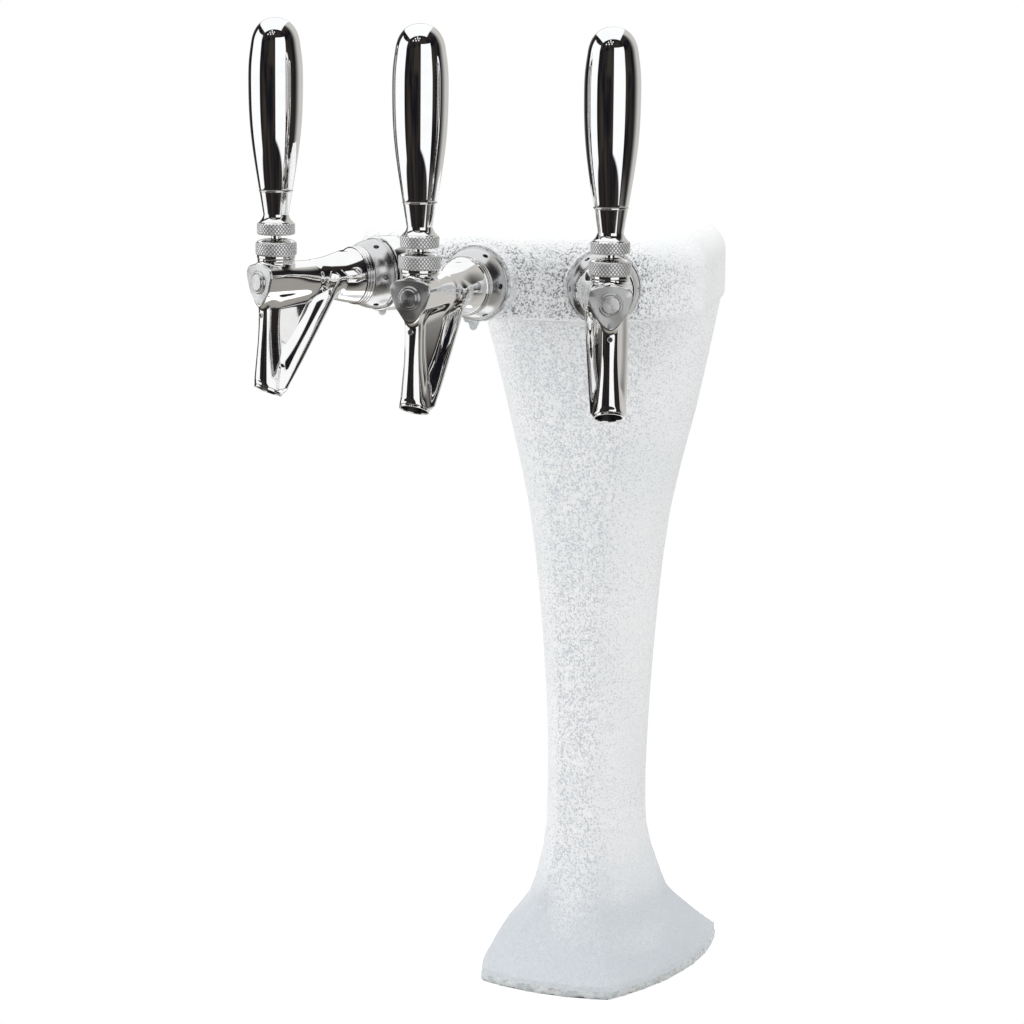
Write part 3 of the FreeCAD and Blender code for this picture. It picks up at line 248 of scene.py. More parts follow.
def knurled_metal_painted_light():
    """Bright points and dark grooves, as the knurl attribute runs from 1 to 0: the dark in the grooves is
    painted shade, and the pale matt share on the points a painted highlight.
    """
    made, g = material("knurled_metal_painted_light")
    point = g.attribute("knurl")
    worn = g.noise(300.0, 3.0)
    # Painted shade in the grooves, painted highlight on the points.
    colour = g.mix(g.ease(point, 0.1, 0.9), grey(0.07, 0.03), grey(0.97))
    roughness = g.sum(g.ease(point, 0.1, 0.9, 0.55, 0.38), g.ease(worn, 0.4, 0.8, 0.0, 0.06))
    g.finish({"Base Color": colour, "Roughness": roughness}, {"Metallic": 0.75})
    return made


def cast_or_rolled(name, tint, metallic, rough, grain, depth):
    """Plain stock: a colour that varies a little, with a fine grain."""
    made, g = material(name)
    patches = g.noise(60.0, 4.0)
    fine = g.noise(grain, 3.0)
    colour = g.mix(g.ease(patches, 0.3, 0.75), tint, shade(tint, 0.82))
    roughness = g.ease(fine, 0.3, 0.7, rough, rough + 0.1)
    g.finish({"Base Color": colour, "Roughness": roughness, "Normal": g.bump(fine, 1.0, depth * MM)},
             {"Metallic": metallic})
    return made


FROST_WHITE = (0.925, 0.930, 0.935, 1.0)
FROST_SHADE = (0.875, 0.893, 0.897, 1.0)
# Painted shade: the grey given to the gaps between grains, where shade falls between them.
FROST_GAP_SHADE = (0.62, 0.645, 0.68, 1.0)
# Gap colour where the frost thins near the taps: partly frost thinned to show what lies under it, partly
# painted shade in the gaps.
FROST_THAWED_GAP_SHADE = (0.10, 0.115, 0.135, 1.0)
FROST_COLD = (0.57, 0.615, 0.665, 1.0)
RELIEF_SHARE, BEAD_SHARE = 0.52, 0.48               # how much the mesh's grains and the fine beads lift the colour from the painted gap shade to white
ICE_CLEAR = (0.56, 0.60, 0.62, 1.0)
ICE_STAINED = (0.50, 0.48, 0.40, 1.0)
ICE_CLOUDY = (0.86, 0.88, 0.88, 1.0)
ICE_INDEX = 1.31


def frost_material():
    """White ice grains, with painted shade in the gaps between them; thaw deepens that painted shade, and
    cold greys the white.
    """
    made, g = material("frost")
    relief, cold, thaw = g.attribute("relief"), g.attribute("cold"), g.attribute("thaw")
    clouds = g.noise(16.0, 3.0)
    grain = g.noise(1100.0, 3.0)
    bead = g.ease(g.cells(760.0), 0.12, 0.80, 1.0, 0.0)
    white = g.mix(g.ease(clouds, 0.38, 0.68), FROST_WHITE, FROST_SHADE)
    white = g.mix(cold, white, FROST_COLD)
    gap = g.mix(thaw, FROST_GAP_SHADE, FROST_THAWED_GAP_SHADE)
    height = g.sum(g.product(relief, RELIEF_SHARE), g.product(bead, BEAD_SHARE),
                   g.ease(grain, 0.35, 0.65, -0.06, 0.06))
    # Painted shade: low places in the relief and between the beads take the gap colour.
    colour = g.mix(g.ease(height, 0.08, 0.50), gap, white)
    normal = g.bump(grain, 1.0, 0.12 * MM, g.bump(bead, 0.8, 0.36 * MM))
    g.finish({"Base Color": colour, "Roughness": g.ease(grain, 0.3, 0.7, 0.4, 0.7), "Normal": normal},
             {"Specular IOR Level": 0.4, "IOR": ICE_INDEX})
    return made


def ice_material():
    """Grey clear ice: cloudy in patches, with a yellow-brown tinge in a few."""
    made, g = material("ice")
    cloud = g.noise(170.0, 4.0)
    stain = g.noise(38.0, 3.0)
    clear = g.mix(g.ease(stain, 0.48, 0.80), ICE_CLEAR, ICE_STAINED)
    colour = g.mix(g.ease(cloud, 0.30, 0.75), clear, ICE_CLOUDY)
    normal = g.bump(g.noise(420.0, 3.0), 1.0, 0.5 * MM)
    g.finish({"Base Color": colour, "Roughness": g.ease(cloud, 0.35, 0.65, 0.12, 0.5), "Normal": normal},
             {"IOR": ICE_INDEX, "Transmission Weight": 0.25})
    return made


# ---------------------------------------------------------------- mesh helpers

WELD = 1e-7                                         # metres: points nearer than this become one


def mesh_of(name, points, faces):
    """A mesh from points in millimetres and faces that all have the same number of corners."""
    points = np.asarray(points, float) * MM
    faces = np.asarray(faces, np.int32)
    mesh = bpy.data.meshes.new(name)
    mesh.vertices.add(len(points))
    mesh.vertices.foreach_set("co", points.astype(np.float32).ravel())
    corners = faces.shape[1]
    mesh.loops.add(faces.size)
    mesh.loops.foreach_set("vertex_index", faces.ravel())
    mesh.polygons.add(len(faces))
    mesh.polygons.foreach_set("loop_start", np.arange(0, faces.size, corners, dtype=np.int32))
    mesh.update(calc_edges=True)
    mesh.validate()
    return mesh


def reworked(mesh, weld=False, cap=False):
    """Welds doubled points or caps open ends, if asked, and turns the faces outward."""
    work = bmesh.new()
    work.from_mesh(mesh)
    if weld:
        bmesh.ops.remove_doubles(work, verts=work.verts, dist=WELD)
    if cap:
        bmesh.ops.holes_fill(work, edges=[e for e in work.edges if e.is_boundary], sides=0)
    bmesh.ops.recalc_face_normals(work, faces=work.faces)
    work.to_mesh(mesh)
    work.free()
    return mesh


def applied(thing):
    """A mesh with an object's modifiers worked into it."""
    return bpy.data.meshes.new_from_object(thing.evaluated_get(bpy.context.evaluated_depsgraph_get()))


def smooth(mesh, angle=None):
    """Smooth shading; with an angle in degrees, edges sharper than it stay crisp."""
    mesh.polygons.foreach_set("use_smooth", np.ones(len(mesh.polygons), bool))
    if angle is not None:
        mesh.set_sharp_from_angle(angle=math.radians(angle))
    return mesh


def object_of(name, mesh, finish, matrix=None):
    if not mesh.materials:
        mesh.materials.append(finish)
    made = linked(name, mesh)
    if matrix is not None:
        made.matrix_world = matrix
    return made


def piece(name, mesh, finish, body, replaced=(), matrix=None):
    """An object that rides on a body, takes a finish and may stand for CAD nodes."""
    made = object_of(name, mesh, finish, matrix)
    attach(made, body)
    if replaced:
        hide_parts(*replaced)


def points_of(mesh):
    """A mesh's vertices, in millimetres."""
    points = np.zeros(len(mesh.vertices) * 3, np.float32)
    mesh.vertices.foreach_get("co", points)
    return points.reshape(-1, 3).astype(float) / MM


def normals_of(mesh):
    normals = np.zeros(len(mesh.vertices) * 3, np.float32)
    mesh.vertex_normals.foreach_get("vector", normals)
    return normals.reshape(-1, 3).astype(float)


def set_points(mesh, points):
    mesh.vertices.foreach_set("co", (points * MM).astype(np.float32).ravel())
    mesh.update()


def set_attribute(mesh, name, values):
    mesh.attributes.new(name, "FLOAT", "POINT").data.foreach_set("value", values.astype(np.float32))


def grid_faces(rows, columns):
    """Quads of a grid of points, row by row, with the last column joined to the first."""
    row, column = np.meshgrid(np.arange(rows - 1), np.arange(columns), indexing="ij")
    row, column = row.ravel(), column.ravel()
    follower = (column + 1) % columns
    return np.stack([row * columns + column, row * columns + follower,
                     (row + 1) * columns + follower, (row + 1) * columns + column], 1)


def rounded(profile, radius, steps=4):
    """A profile of (radius, station) corners with each inner corner turned into a small arc.

    A corner may carry its own rounding as a third number; zero keeps it sharp.
    """
    made = [tuple(profile[0][:2])]
    for before, corner, after in zip(profile, profile[1:], profile[2:]):
        here, back, on = (np.array(p[:2], float) for p in (corner, before, after))
        wanted = corner[2] if len(corner) > 2 else radius
        arriving, leaving = here - back, on - here
        reach = min(np.linalg.norm(arriving), np.linalg.norm(leaving)) / 2.01
        if wanted <= 0 or reach < 1e-6:
            made.append(tuple(here))
            continue
        arriving, leaving = arriving / np.linalg.norm(arriving), leaving / np.linalg.norm(leaving)
        setback = min(wanted, reach)
        for share in np.linspace(0, 1, steps + 1):
            start, end = here - arriving * setback, here + leaving * setback
            made.append(tuple((1 - share) ** 2 * start + 2 * share * (1 - share) * here + share ** 2 * end))
    made.append(tuple(profile[-1][:2]))
    return made


def lathe(name, profile, segments, upright=True, centre=0.0):
    """Turned from (radius, station) points: about +Z through (0, centre) if upright, or else about +Y."""
    profile = np.array(profile, float)
    angles = np.linspace(0, 2 * math.pi, segments, endpoint=False)
    radius, station = profile[:, 0][:, None], profile[:, 1][:, None] * np.ones(segments)
    across, along = radius * np.cos(angles), radius * np.sin(angles)
    if upright:
        points = np.stack([across, along + centre, station], -1)
    else:
        points = np.stack([along, station, across], -1)
    return reworked(mesh_of(name, points.reshape(-1, 3), grid_faces(len(profile), segments)), weld=True)


def cubic(stations, values, count):
    """A smooth curve through a few points: the natural cubic spline, sampled evenly."""
    stations, values = np.array(stations, float), np.array(values, float)
    gap = np.diff(stations)
    size = len(stations)
    matrix, right = np.eye(size), np.zeros(size)
    for i in range(1, size - 1):
        matrix[i, i - 1:i + 2] = gap[i - 1], 2 * (gap[i - 1] + gap[i]), gap[i]
        right[i] = 6 * ((values[i + 1] - values[i]) / gap[i] - (values[i] - values[i - 1]) / gap[i - 1])
    bend = np.linalg.solve(matrix, right)
    where = np.linspace(stations[0], stations[-1], count)
    span = np.clip(np.searchsorted(stations, where) - 1, 0, size - 2)
    low, high = where - stations[span], stations[span + 1] - where
    curve = (bend[span] * high ** 3 + bend[span + 1] * low ** 3) / (6 * gap[span])
    curve += (values[span] / gap[span] - bend[span] * gap[span] / 6) * high
    curve += (values[span + 1] / gap[span] - bend[span + 1] * gap[span] / 6) * low
    return where, curve


# ---------------------------------------------------------------- surfaces from distance functions

def smooth_min(a, b, reach):
    share = np.clip(0.5 + 0.5 * (b - a) / reach, 0, 1)
    return b + (a - b) * share - reach * share * (1 - share)


def smooth_max(a, b, reach):
    return -smooth_min(-a, -b, reach)


def gradient_of(distance, points, step=0.02):
    slopes = [distance(points + shift) - distance(points - shift) for shift in np.eye(3) * step]
    return np.stack(slopes, -1) / (2 * step)


def settle(points, distance, rounds=3):
    """Moves points onto the surface where distance is zero."""
    for _ in range(rounds):
        slope = gradient_of(distance, points)
        points = points - slope * (distance(points) / np.maximum((slope ** 2).sum(-1), 0.05))[:, None]
    return points


def relax(points, faces, distance, rounds):
    """Evens out the spacing of a mesh's points along its surface."""
    edges = np.concatenate([faces[:, [i, (i + 1) % 4]] for i in range(4)])
    for _ in range(rounds):
        total = np.zeros_like(points)
        count = np.zeros(len(points))
        for a, b in ((0, 1), (1, 0)):
            np.add.at(total, edges[:, a], points[edges[:, b]])
            np.add.at(count, edges[:, a], 1)
        move = total / np.maximum(count, 1)[:, None] - points
        normal = gradient_of(distance, points)
        normal /= np.maximum(np.linalg.norm(normal, axis=-1), 1e-6)[:, None]
        points = points + 0.6 * (move - normal * (move * normal).sum(-1)[:, None])
        points = settle(points, distance, 1)
    return points


def surface_of(name, distance, low, high, step, rounds=2):
    """The surface where distance is zero, by surface nets on a grid of the given step."""
    axes = [np.arange(a, b + step, step) for a, b in zip(low, high)]
    grid = np.stack(np.meshgrid(*axes, indexing="ij"), -1)
    value = distance(grid)
    inside = value < 0
    shape = np.array(value.shape)

    def at(array, corner):
        return array[tuple(slice(c, n - 1 + c) for c, n in zip(corner, shape))]

    corners = [(i, j, k) for i in (0, 1) for j in (0, 1) for k in (0, 1)]
    count = sum(at(inside, c).astype(np.int8) for c in corners)
    active = (count > 0) & (count < 8)
    cells = np.argwhere(active)
    index = np.full(active.shape, -1, np.int64)
    index[active] = np.arange(len(cells))
    total, number = np.zeros((len(cells), 3)), np.zeros(len(cells))
    for first in corners:
        for axis in range(3):
            if first[axis]:
                continue
            second = np.array(first) + np.eye(3, dtype=int)[axis]
            a = at(value, first)[active]
            b = at(value, second)[active]
            crossed = (a < 0) != (b < 0)
            share = np.where(crossed, a / np.where(crossed, a - b, 1), 0)
            spot = np.array(first, float) + share[:, None] * np.eye(3)[axis]
            total += spot * crossed[:, None]
            number += crossed
    points = np.array(low) + (cells + total / number[:, None]) * step

    faces = []
    unit = np.eye(3, dtype=int)
    for axis in range(3):
        u, v = (axis + 1) % 3, (axis + 2) % 3
        lower = np.take(inside, range(shape[axis] - 1), axis)
        upper = np.take(inside, range(1, shape[axis]), axis)
        spots = np.argwhere(lower != upper)
        beside = spots[:, [u, v]]
        spots = spots[((beside > 0) & (beside < shape[[u, v]] - 1)).all(1)]
        around = [spots - unit[u] - unit[v], spots - unit[v], spots, spots - unit[u]]
        quads = np.stack([index[tuple(s.T)] for s in around], 1)
        outward = lower[tuple(spots.T)]
        faces.append(np.where(outward[:, None], quads, quads[:, ::-1]))
    faces = np.concatenate(faces)
    points = settle(points, distance)
    points = relax(points, faces, distance, rounds)
    return mesh_of(name, points, faces)


# ---------------------------------------------------------------- grains of frost

def scrambled(cells, seed):
    """Four repeatable random numbers from 0 to 1 for each whole-numbered cell."""
    cells = cells.astype(np.int64).astype(np.uint64)
    word = cells[..., 0] * np.uint64(73856093) ^ cells[..., 1] * np.uint64(19349663)
    word = word ^ cells[..., 2] * np.uint64(83492791) ^ np.uint64(seed * 2654435761 % 2 ** 32)
    numbers = []
    for _ in range(4):
        word = (word ^ (word >> np.uint64(15))) * np.uint64(0x2C1B3C6D)
        word = (word & np.uint64(0xFFFFFFFF)) ^ (word >> np.uint64(32))
        word = (word ^ (word >> np.uint64(12))) * np.uint64(0x297A2D39)
        word = word & np.uint64(0xFFFFFFFF)
        numbers.append(word.astype(float) / 2 ** 32)
    return np.stack(numbers, -1)


def grains(points, spacing, seed, filled, small):
    """Height, in millimetres, of round grains about spacing apart, a share of them present.

    The least grain has the small share of the largest one's radius.
    """
    home = np.floor(points / spacing)
    best = np.zeros(len(points))
    for shift in np.ndindex(3, 3, 3):
        cell = home + (np.array(shift) - 1)
        luck = scrambled(cell, seed)
        site = (cell + 0.15 + 0.7 * luck[..., :3]) * spacing
        radius = spacing * 0.62 * (small + (1 - small) * luck[..., 3])
        present = scrambled(cell + 7, seed + 11)[..., 0] < filled
        gap = ((points - site) ** 2).sum(-1)
        cap = np.sqrt(np.maximum(radius ** 2 - gap, 0)) * present
        best = np.maximum(best, cap)
    return best


def drift(points, scale, seed):
    """A soft noise between 0 and 1, with features about scale millimetres apart."""
    spot = points / scale
    home = np.floor(spot)
    share = spot - home
    share = share * share * (3 - 2 * share)
    total = np.zeros(len(points))
    for corner in np.ndindex(2, 2, 2):
        weight = np.prod(np.where(np.array(corner) == 1, share, 1 - share), -1)
        total += weight * scrambled(home + np.array(corner), seed)[..., 0]
    return total


# Each size of grain: millimetres apart, share present, least radius, full height and how far up it reaches.
GRAINS = ((3.6, 0.3, 0.5, 2.23, 1.0), (2.1, 0.97, 0.65, 1.30, 0.9), (1.5, 1.0, 0.7, 0.93, 0.7))


def frost_relief(points, seed, coarse):
    """Relief of a frosted skin, from 0 in the gaps to 1 on the grains; coarse sizes the grains."""
    relief = np.zeros(len(points))
    for order, (spacing, filled, small, full, reach) in enumerate(GRAINS):
        height = grains(points, spacing * coarse, seed + order, filled, small) / (full * coarse)
        relief = np.maximum(relief, reach * height)
    return np.clip(relief, 0, 1)


def frosted(mesh, points, normals, seed, depth, coarse=1.0, cold=0.0, softness=0.0, thaw=0.0):
    """Sinks the gaps between grains into a skin; the grains' tops stay on it. Softness flattens the grains
    and lifts their relief towards white, which takes painted shade out of their gaps.
    """
    everywhere = np.ones(len(points))
    relief = frost_relief(points, seed, coarse)
    relief = relief + (0.8 - relief) * softness * everywhere
    sink = (1 - relief) * depth * (1 - 0.35 * softness)
    set_points(mesh, points - normals * sink[:, None])
    # The frost finish paints shade into the gaps from this relief.
    set_attribute(mesh, "relief", relief)
    set_attribute(mesh, "cold", cold * everywhere)
    set_attribute(mesh, "thaw", thaw * everywhere)
    return smooth(mesh)


# ---------------------------------------------------------------- the frosted column

COLUMN_ROWS = 680
COLUMN_COLUMNS = 560
COLUMN_RAYS = 900
CORNER_ROUNDS = 6                                   # passes that round the column's upright edges
LEAN = -0.022                                       # y of the column's middle at its top, in metres
RAY_START = 0.25
SEAM = 0.0002                                       # keeps the rays off the column's very ends
PATCHY_TOP, PATCHY_FADE = 105, 60                   # millimetres: colder frost starts in patches below here,
SOLID_TOP, SOLID_FADE = 60, 40                      # and all round below here


def column_axis(height, low, high):
    """y of a point inside the column's section at a height, in metres."""
    return LEAN * np.clip((height - low) / (high - low) * 2 - 1, 0, 1)


def column_section(tree, height, centre):
    """Evenly spaced points round the column at one height, in metres, found from outside."""
    outline = []
    for angle in np.linspace(0, 2 * math.pi, COLUMN_RAYS, endpoint=False):
        way = Vector((math.sin(angle), math.cos(angle), 0))
        start = Vector((0, centre, height)) + way * RAY_START
        hit = tree.ray_cast(start, -way)[0]
        outline.append(tuple(hit))
    outline = np.array(outline + outline[:1])
    length = np.concatenate([[0], np.cumsum(np.linalg.norm(np.diff(outline, axis=0), axis=1))])
    wanted = np.linspace(0, length[-1], COLUMN_COLUMNS, endpoint=False)
    section = np.stack([np.interp(wanted, length, outline[:, axis]) for axis in range(3)], -1)
    for _ in range(CORNER_ROUNDS):
        section = section / 2 + (np.roll(section, 1, axis=0) + np.roll(section, -1, axis=0)) / 4
    return section


def grid_normals(points):
    """Outward normals of a closed grid of points, from its rows and columns."""
    along = np.gradient(points, axis=0)
    across = np.roll(points, -1, axis=1) - np.roll(points, 1, axis=1)
    normal = np.cross(along, across)
    return normal / np.maximum(np.linalg.norm(normal, axis=-1), 1e-9)[..., None]


def tree_of(node):
    """The surface of a CAD node, ready for rays."""
    mesh = frame["nodes"][node].data
    points = [vertex.co.copy() for vertex in mesh.vertices]
    return BVHTree.FromPolygons(points, [list(polygon.vertices) for polygon in mesh.polygons])


def make_column(finish):
    low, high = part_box("column_shell")
    tree = tree_of("column_shell")
    foot, top = low.z + SEAM, high.z - SEAM
    levels = np.linspace(foot, top, COLUMN_ROWS)
    skin = np.stack([column_section(tree, z, column_axis(z, foot, top)) for z in levels]) / MM
    normals = grid_normals(skin)
    if (normals[COLUMN_ROWS // 2, :, :2] * (skin[COLUMN_ROWS // 2, :, :2])).sum() < 0:
        normals = -normals
    points, normals = skin.reshape(-1, 3), normals.reshape(-1, 3)
    faces = grid_faces(COLUMN_ROWS, COLUMN_COLUMNS)
    mesh = mesh_of("column_frost", points, faces)
    height = points[:, 2]
    base = np.clip((PATCHY_TOP - height) / PATCHY_FADE, 0, 1) * drift(points, 26, 5) * 1.2
    base = np.clip(base + np.clip((SOLID_TOP - height) / SOLID_FADE, 0, 1) * 0.75, 0, 1)
    # Painted light: facets that face sideways get softer grains and so less painted shade in their gaps,
    # which makes them lighter.
    side = np.clip(np.abs(normals[:, 0]) * 1.6 - 0.4, 0, 1)
    soft = np.clip(0.15 * base + side * (0.42 + 0.30 * drift(points, 40, 9)), 0, 0.8)
    frosted(mesh, points, normals, 21, 0.8, 1.0, base * 0.75, soft)
    piece("column_frost", reworked(mesh, cap=True), finish, TOWER, ["column_shell"])


# ---------------------------------------------------------------- the frosted head

HEAD_VOXEL = 0.00095
THAW_REACH, THAW_FADE = 62.0, 42                    # millimetres from a tap's axis where the frost thins and the painted shade in its gaps deepens
THAW_WANDER = 14                                    # millimetres by which that edge comes and goes


def voxel_skin(name, points, voxel):
    """An even mesh over the convex form of some points."""
    work = bmesh.new()
    for point in points:
        work.verts.new(point * MM)
    hull = bmesh.ops.convex_hull(work, input=work.verts)
    spare = {g for g in hull["geom_interior"] + hull["geom_unused"] if isinstance(g, bmesh.types.BMVert)}
    bmesh.ops.delete(work, geom=list(spare), context="VERTS")
    mesh = bpy.data.meshes.new(name)
    work.to_mesh(mesh)
    work.free()
    holder = linked(name, mesh)
    remesh = holder.modifiers.new("even", "REMESH")
    remesh.mode = "VOXEL"
    remesh.voxel_size = voxel
    made = applied(holder)
    bpy.data.objects.remove(holder)
    made.name = name
    return made


def make_head(finish):
    shell = frame["nodes"]["head_shell"].data
    mesh = voxel_skin("head_frost", points_of(shell), HEAD_VOXEL)
    points, normals = points_of(mesh), normals_of(mesh)
    up = np.clip(normals[:, 2], 0, 1)
    near = np.full(len(points), 1e3)
    for name in TAPS:
        matrix = tap_matrix(name)
        origin, outward = np.array(matrix.translation) / MM, np.array(matrix.col[1][:3])
        offset = points - origin
        offset = offset - (offset @ outward)[:, None] * outward
        near = np.minimum(near, np.linalg.norm(offset, axis=1))
    # Thaw, on faces toward the front and near a tap's axis, deepens the painted shade in the frost's gaps.
    front = np.clip(-normals[:, 1] * 1.4 - 0.2, 0, 1)
    edge = THAW_REACH + THAW_WANDER * (drift(points, 22, 8) - 0.5)
    thaw = front * np.clip((edge - near) / THAW_FADE, 0, 1)
    # Painted light: the top, and faces turned away from the front, get softer grains and less painted gap
    # shade, which makes the top white.
    soft = np.clip(0.95 * up + 0.5 * (1 - thaw) * drift(points, 34, 3) + 0.4 * (1 - front), 0, 0.92)
    frosted(mesh, points, normals, 57, 1.0, 0.95, 0.0, soft * (1 - thaw), thaw)
    piece("head_frost", mesh, finish, TOWER, ["head_shell"])


# ---------------------------------------------------------------- one tap: its frame and dimensions

NECK_STATION = 78.65
PIVOT_HEIGHT = 21.0


def tap_matrix(name):
    """The tap's frame, from its lever's joint: the pivot lies over the neck and the axis is level."""
    joint = next(j for j in frame["joints"] if j["name"] == "lever_pull_" + name)
    lateral, up = Vector(joint["axis"]), Vector((0, 0, 1))
    outward = lateral.cross(up)
    origin = Vector(joint["pos_m"]) - outward * NECK_STATION * MM - up * PIVOT_HEIGHT * MM
    turn = Matrix((-lateral, outward, up)).transposed()
    return Matrix.Translation(origin) @ turn.to_4x4()


# ---------------------------------------------------------------- one tap: the faucet's body

THROAT = 46.0
FACE = 92.0
THROAT_RADIUS = 11.8
FACE_RADIUS = 13.0
LOBE = 0.12
POINT = 0.03
BELL_START = 19.6
BELL_RADIUS = 17.7
NECK_RADIUS = 10.8
NECK_TOP = 13.6
SPOUT_TIP = (85.4, -69.5)
SPOUT_TILT = math.radians(25)
SPOUT_RADIUS = 9.35
RING_TOP = 18.0
RING_TOP_RADIUS = 6.7
MOUTH_RADIUS = 8.35
MOUTH_END_RADIUS = 6.85
MOUTH_DEPTH = 11.0
# Down the front leg: height, distance from the rim of the coupling nut, half width and half depth.
LEG = ((-6.0, 86.0, 5.0, 4.3), (-14.5, 86.1, 4.6, 4.2), (-25.0, 86.6, 4.3, 4.0), (-39.0, 86.9, 4.9, 4.9),
       (-53.0, 86.6, 6.7, 6.6), (-68.2, 85.5, 8.8, 8.9))
# Down the rear duct from its head to its foot: share of the way, half width and half depth.
DUCT_HEAD = (40.0, -2.0)
DUCT_FOOT = (81.9, -70.8)
DUCT = ((0.0, 13.2, 7.0), (0.25, 13.0, 6.5), (0.5, 12.2, 6.1), (0.78, 10.8, 5.9), (1.0, 9.0, 5.3))
WEB_TOP = -9.0
WEB_END = 87.5                                      # how far forward the web reaches
WEB_FRONT, WEB_REAR = 3.0, 9.2                      # the side walls' distance from the spout's middle plane
VENT_DROP = 21.0
VENT_RADIUS = 1.35
VENT_FRONT = 91.15
LIP = 0.45                                          # gap round the bore's own piece
RIM_START = 1.2                                     # the body starts this far above the mouth's plane
BODY_LOW, BODY_HIGH, BODY_STEP = (-20, 18, -76), (20, 96, 16), 0.5


def blend(start, end, share):
    return start + (end - start) * share


def barrel_distance(x, u, z):
    """The rounded triangle from the throat to the face, its point down."""
    reach = np.sqrt(x * x + z * z) + 1e-9
    share = np.clip((u - THROAT) / (FACE - THROAT), 0, 1)
    share = np.clip(share * 1.25, 0, 1)
    share = share * share * (3 - 2 * share)
    third = 4 * (-z / reach) ** 3 - 3 * (-z / reach)
    corners = LOBE * third + POINT * (2 * third ** 2 - 1)
    outline = blend(THROAT_RADIUS, FACE_RADIUS, share) * (1 + share * corners)
    side = (reach - outline) * 0.92
    return smooth_max(smooth_max(side, u - FACE, 0.9), BELL_START - u, 0.6)


def bell_distance(x, u, z):
    share = np.clip((u - BELL_START) / (THROAT + 4 - BELL_START), 0, 1)
    swell = (1 - share) ** 1.6 * (1 + 1.1 * share)
    outline = THROAT_RADIUS - 0.4 + (BELL_RADIUS - THROAT_RADIUS + 0.4) * swell
    side = (np.sqrt(x * x + z * z) - outline) * 0.88
    return smooth_max(smooth_max(side, u - THROAT - 4, 2.0), BELL_START - u, 0.6)


def oval_distance(a, b, half_a, half_b):
    """Distance, near enough, from an oval of two half widths."""
    near = np.sqrt((a / half_a) ** 2 + (b / half_b) ** 2) + 1e-6
    slope = np.sqrt((a / half_a ** 2) ** 2 + (b / half_b ** 2) ** 2) + 1e-6
    return near * (near - 1) / slope


def eased(where, stations, values):
    """A smooth curve through a few values; the stations rise."""
    spots, curve = cubic(stations, values, 200)
    return np.interp(where, spots, curve)


def leg_distance(x, u, z):
    """The narrow front leg, which swells into the outlet."""
    heights, reach, half_width, half_depth = np.array(LEG)[::-1].T
    across = u - eased(z, heights, reach)
    return oval_distance(x, across, eased(z, heights, half_width), eased(z, heights, half_depth))


def duct_distance(x, u, z):
    """The wide duct that slants from under the bell to the outlet."""
    head, foot = np.array(DUCT_HEAD), np.array(DUCT_FOOT)
    length = np.linalg.norm(foot - head)
    way = (foot - head) / length
    along = (u - head[0]) * way[0] + (z - head[1]) * way[1]
    across = (u - head[0]) * -way[1] + (z - head[1]) * way[0]
    shares, half_width, half_depth = np.array(DUCT).T
    share = np.clip(along / length, 0, 1)
    side = oval_distance(x, across, eased(share, shares, half_width), eased(share, shares, half_depth))
    return smooth_max(side, -along - 4, 3.0)


def web_distance(x, u, z):
    """The side walls between the leg and the duct, wider apart behind than in front."""
    fall = (z - DUCT_HEAD[1]) / (DUCT_FOOT[1] - DUCT_HEAD[1])
    rear = blend(DUCT_HEAD[0], DUCT_FOOT[0], fall)
    share = np.clip((u - rear) / np.maximum(WEB_END - rear, 1.0), 0, 1)
    side = (np.abs(x) - blend(WEB_REAR, WEB_FRONT, share)) * 0.95
    return np.maximum(np.maximum(side, z - WEB_TOP), np.maximum(u - WEB_END, (rear - u) * 0.85))


def spout_distance(x, u, z):
    """A front leg and a rear duct that run together above a round outlet, with hollow flanks between them."""
    legs = smooth_min(leg_distance(x, u, z), web_distance(x, u, z), 5.0)
    return smooth_min(legs, duct_distance(x, u, z), 5.5)


def outlet_frame(x, u, z):
    """Distance from the outlet's axis, and height above its mouth along that axis."""
    du, dz = u - SPOUT_TIP[0], z - SPOUT_TIP[1]
    down = math.sin(SPOUT_TILT), -math.cos(SPOUT_TILT)
    height = -(du * down[0] + dz * down[1])
    across = du * math.cos(SPOUT_TILT) + dz * math.sin(SPOUT_TILT)
    return np.sqrt(x * x + across * across), height


def faucet_distance(points):
    """The faucet's whole body: barrel, bell, neck and spout, cut at the face and hollow at the mouth."""
    x, u, z = points[..., 0], points[..., 1], points[..., 2]
    barrel = smooth_min(barrel_distance(x, u, z), bell_distance(x, u, z), 3.0)
    body = smooth_min(barrel, spout_distance(x, u, z), 4.0)
    neck = np.sqrt(x * x + (u - NECK_STATION) ** 2) - NECK_RADIUS
    neck = smooth_max(smooth_max(neck, z - NECK_TOP, 0.5), -z, 1.0)
    body = smooth_min(body, neck, 2.2)
    reach, height = outlet_frame(x, u, z)
    cone = reach - blend(SPOUT_RADIUS, RING_TOP_RADIUS, np.clip(height / RING_TOP, 0, 1))
    ring = smooth_max(cone * 0.98, height - RING_TOP, 3.0)
    body = smooth_min(body, ring, 1.6)
    body = smooth_max(body, reach - SPOUT_RADIUS + 0.05 - 0.12 * height ** 2, 0.5)
    body = smooth_max(body, RIM_START - height, 0.2)
    body = smooth_max(body, np.where(z > -30, u - FACE, -9.0), 0.5)
    bore = reach - LIP - blend(MOUTH_RADIUS, MOUTH_END_RADIUS, np.clip(height / MOUTH_DEPTH, -1, 1))
    bore = smooth_max(bore, height - MOUTH_DEPTH - LIP, 0.8)
    return smooth_max(body, -bore, 0.2)


def faucet_mesh():
    return smooth(surface_of("faucet", faucet_distance, BODY_LOW, BODY_HIGH, BODY_STEP), 50)


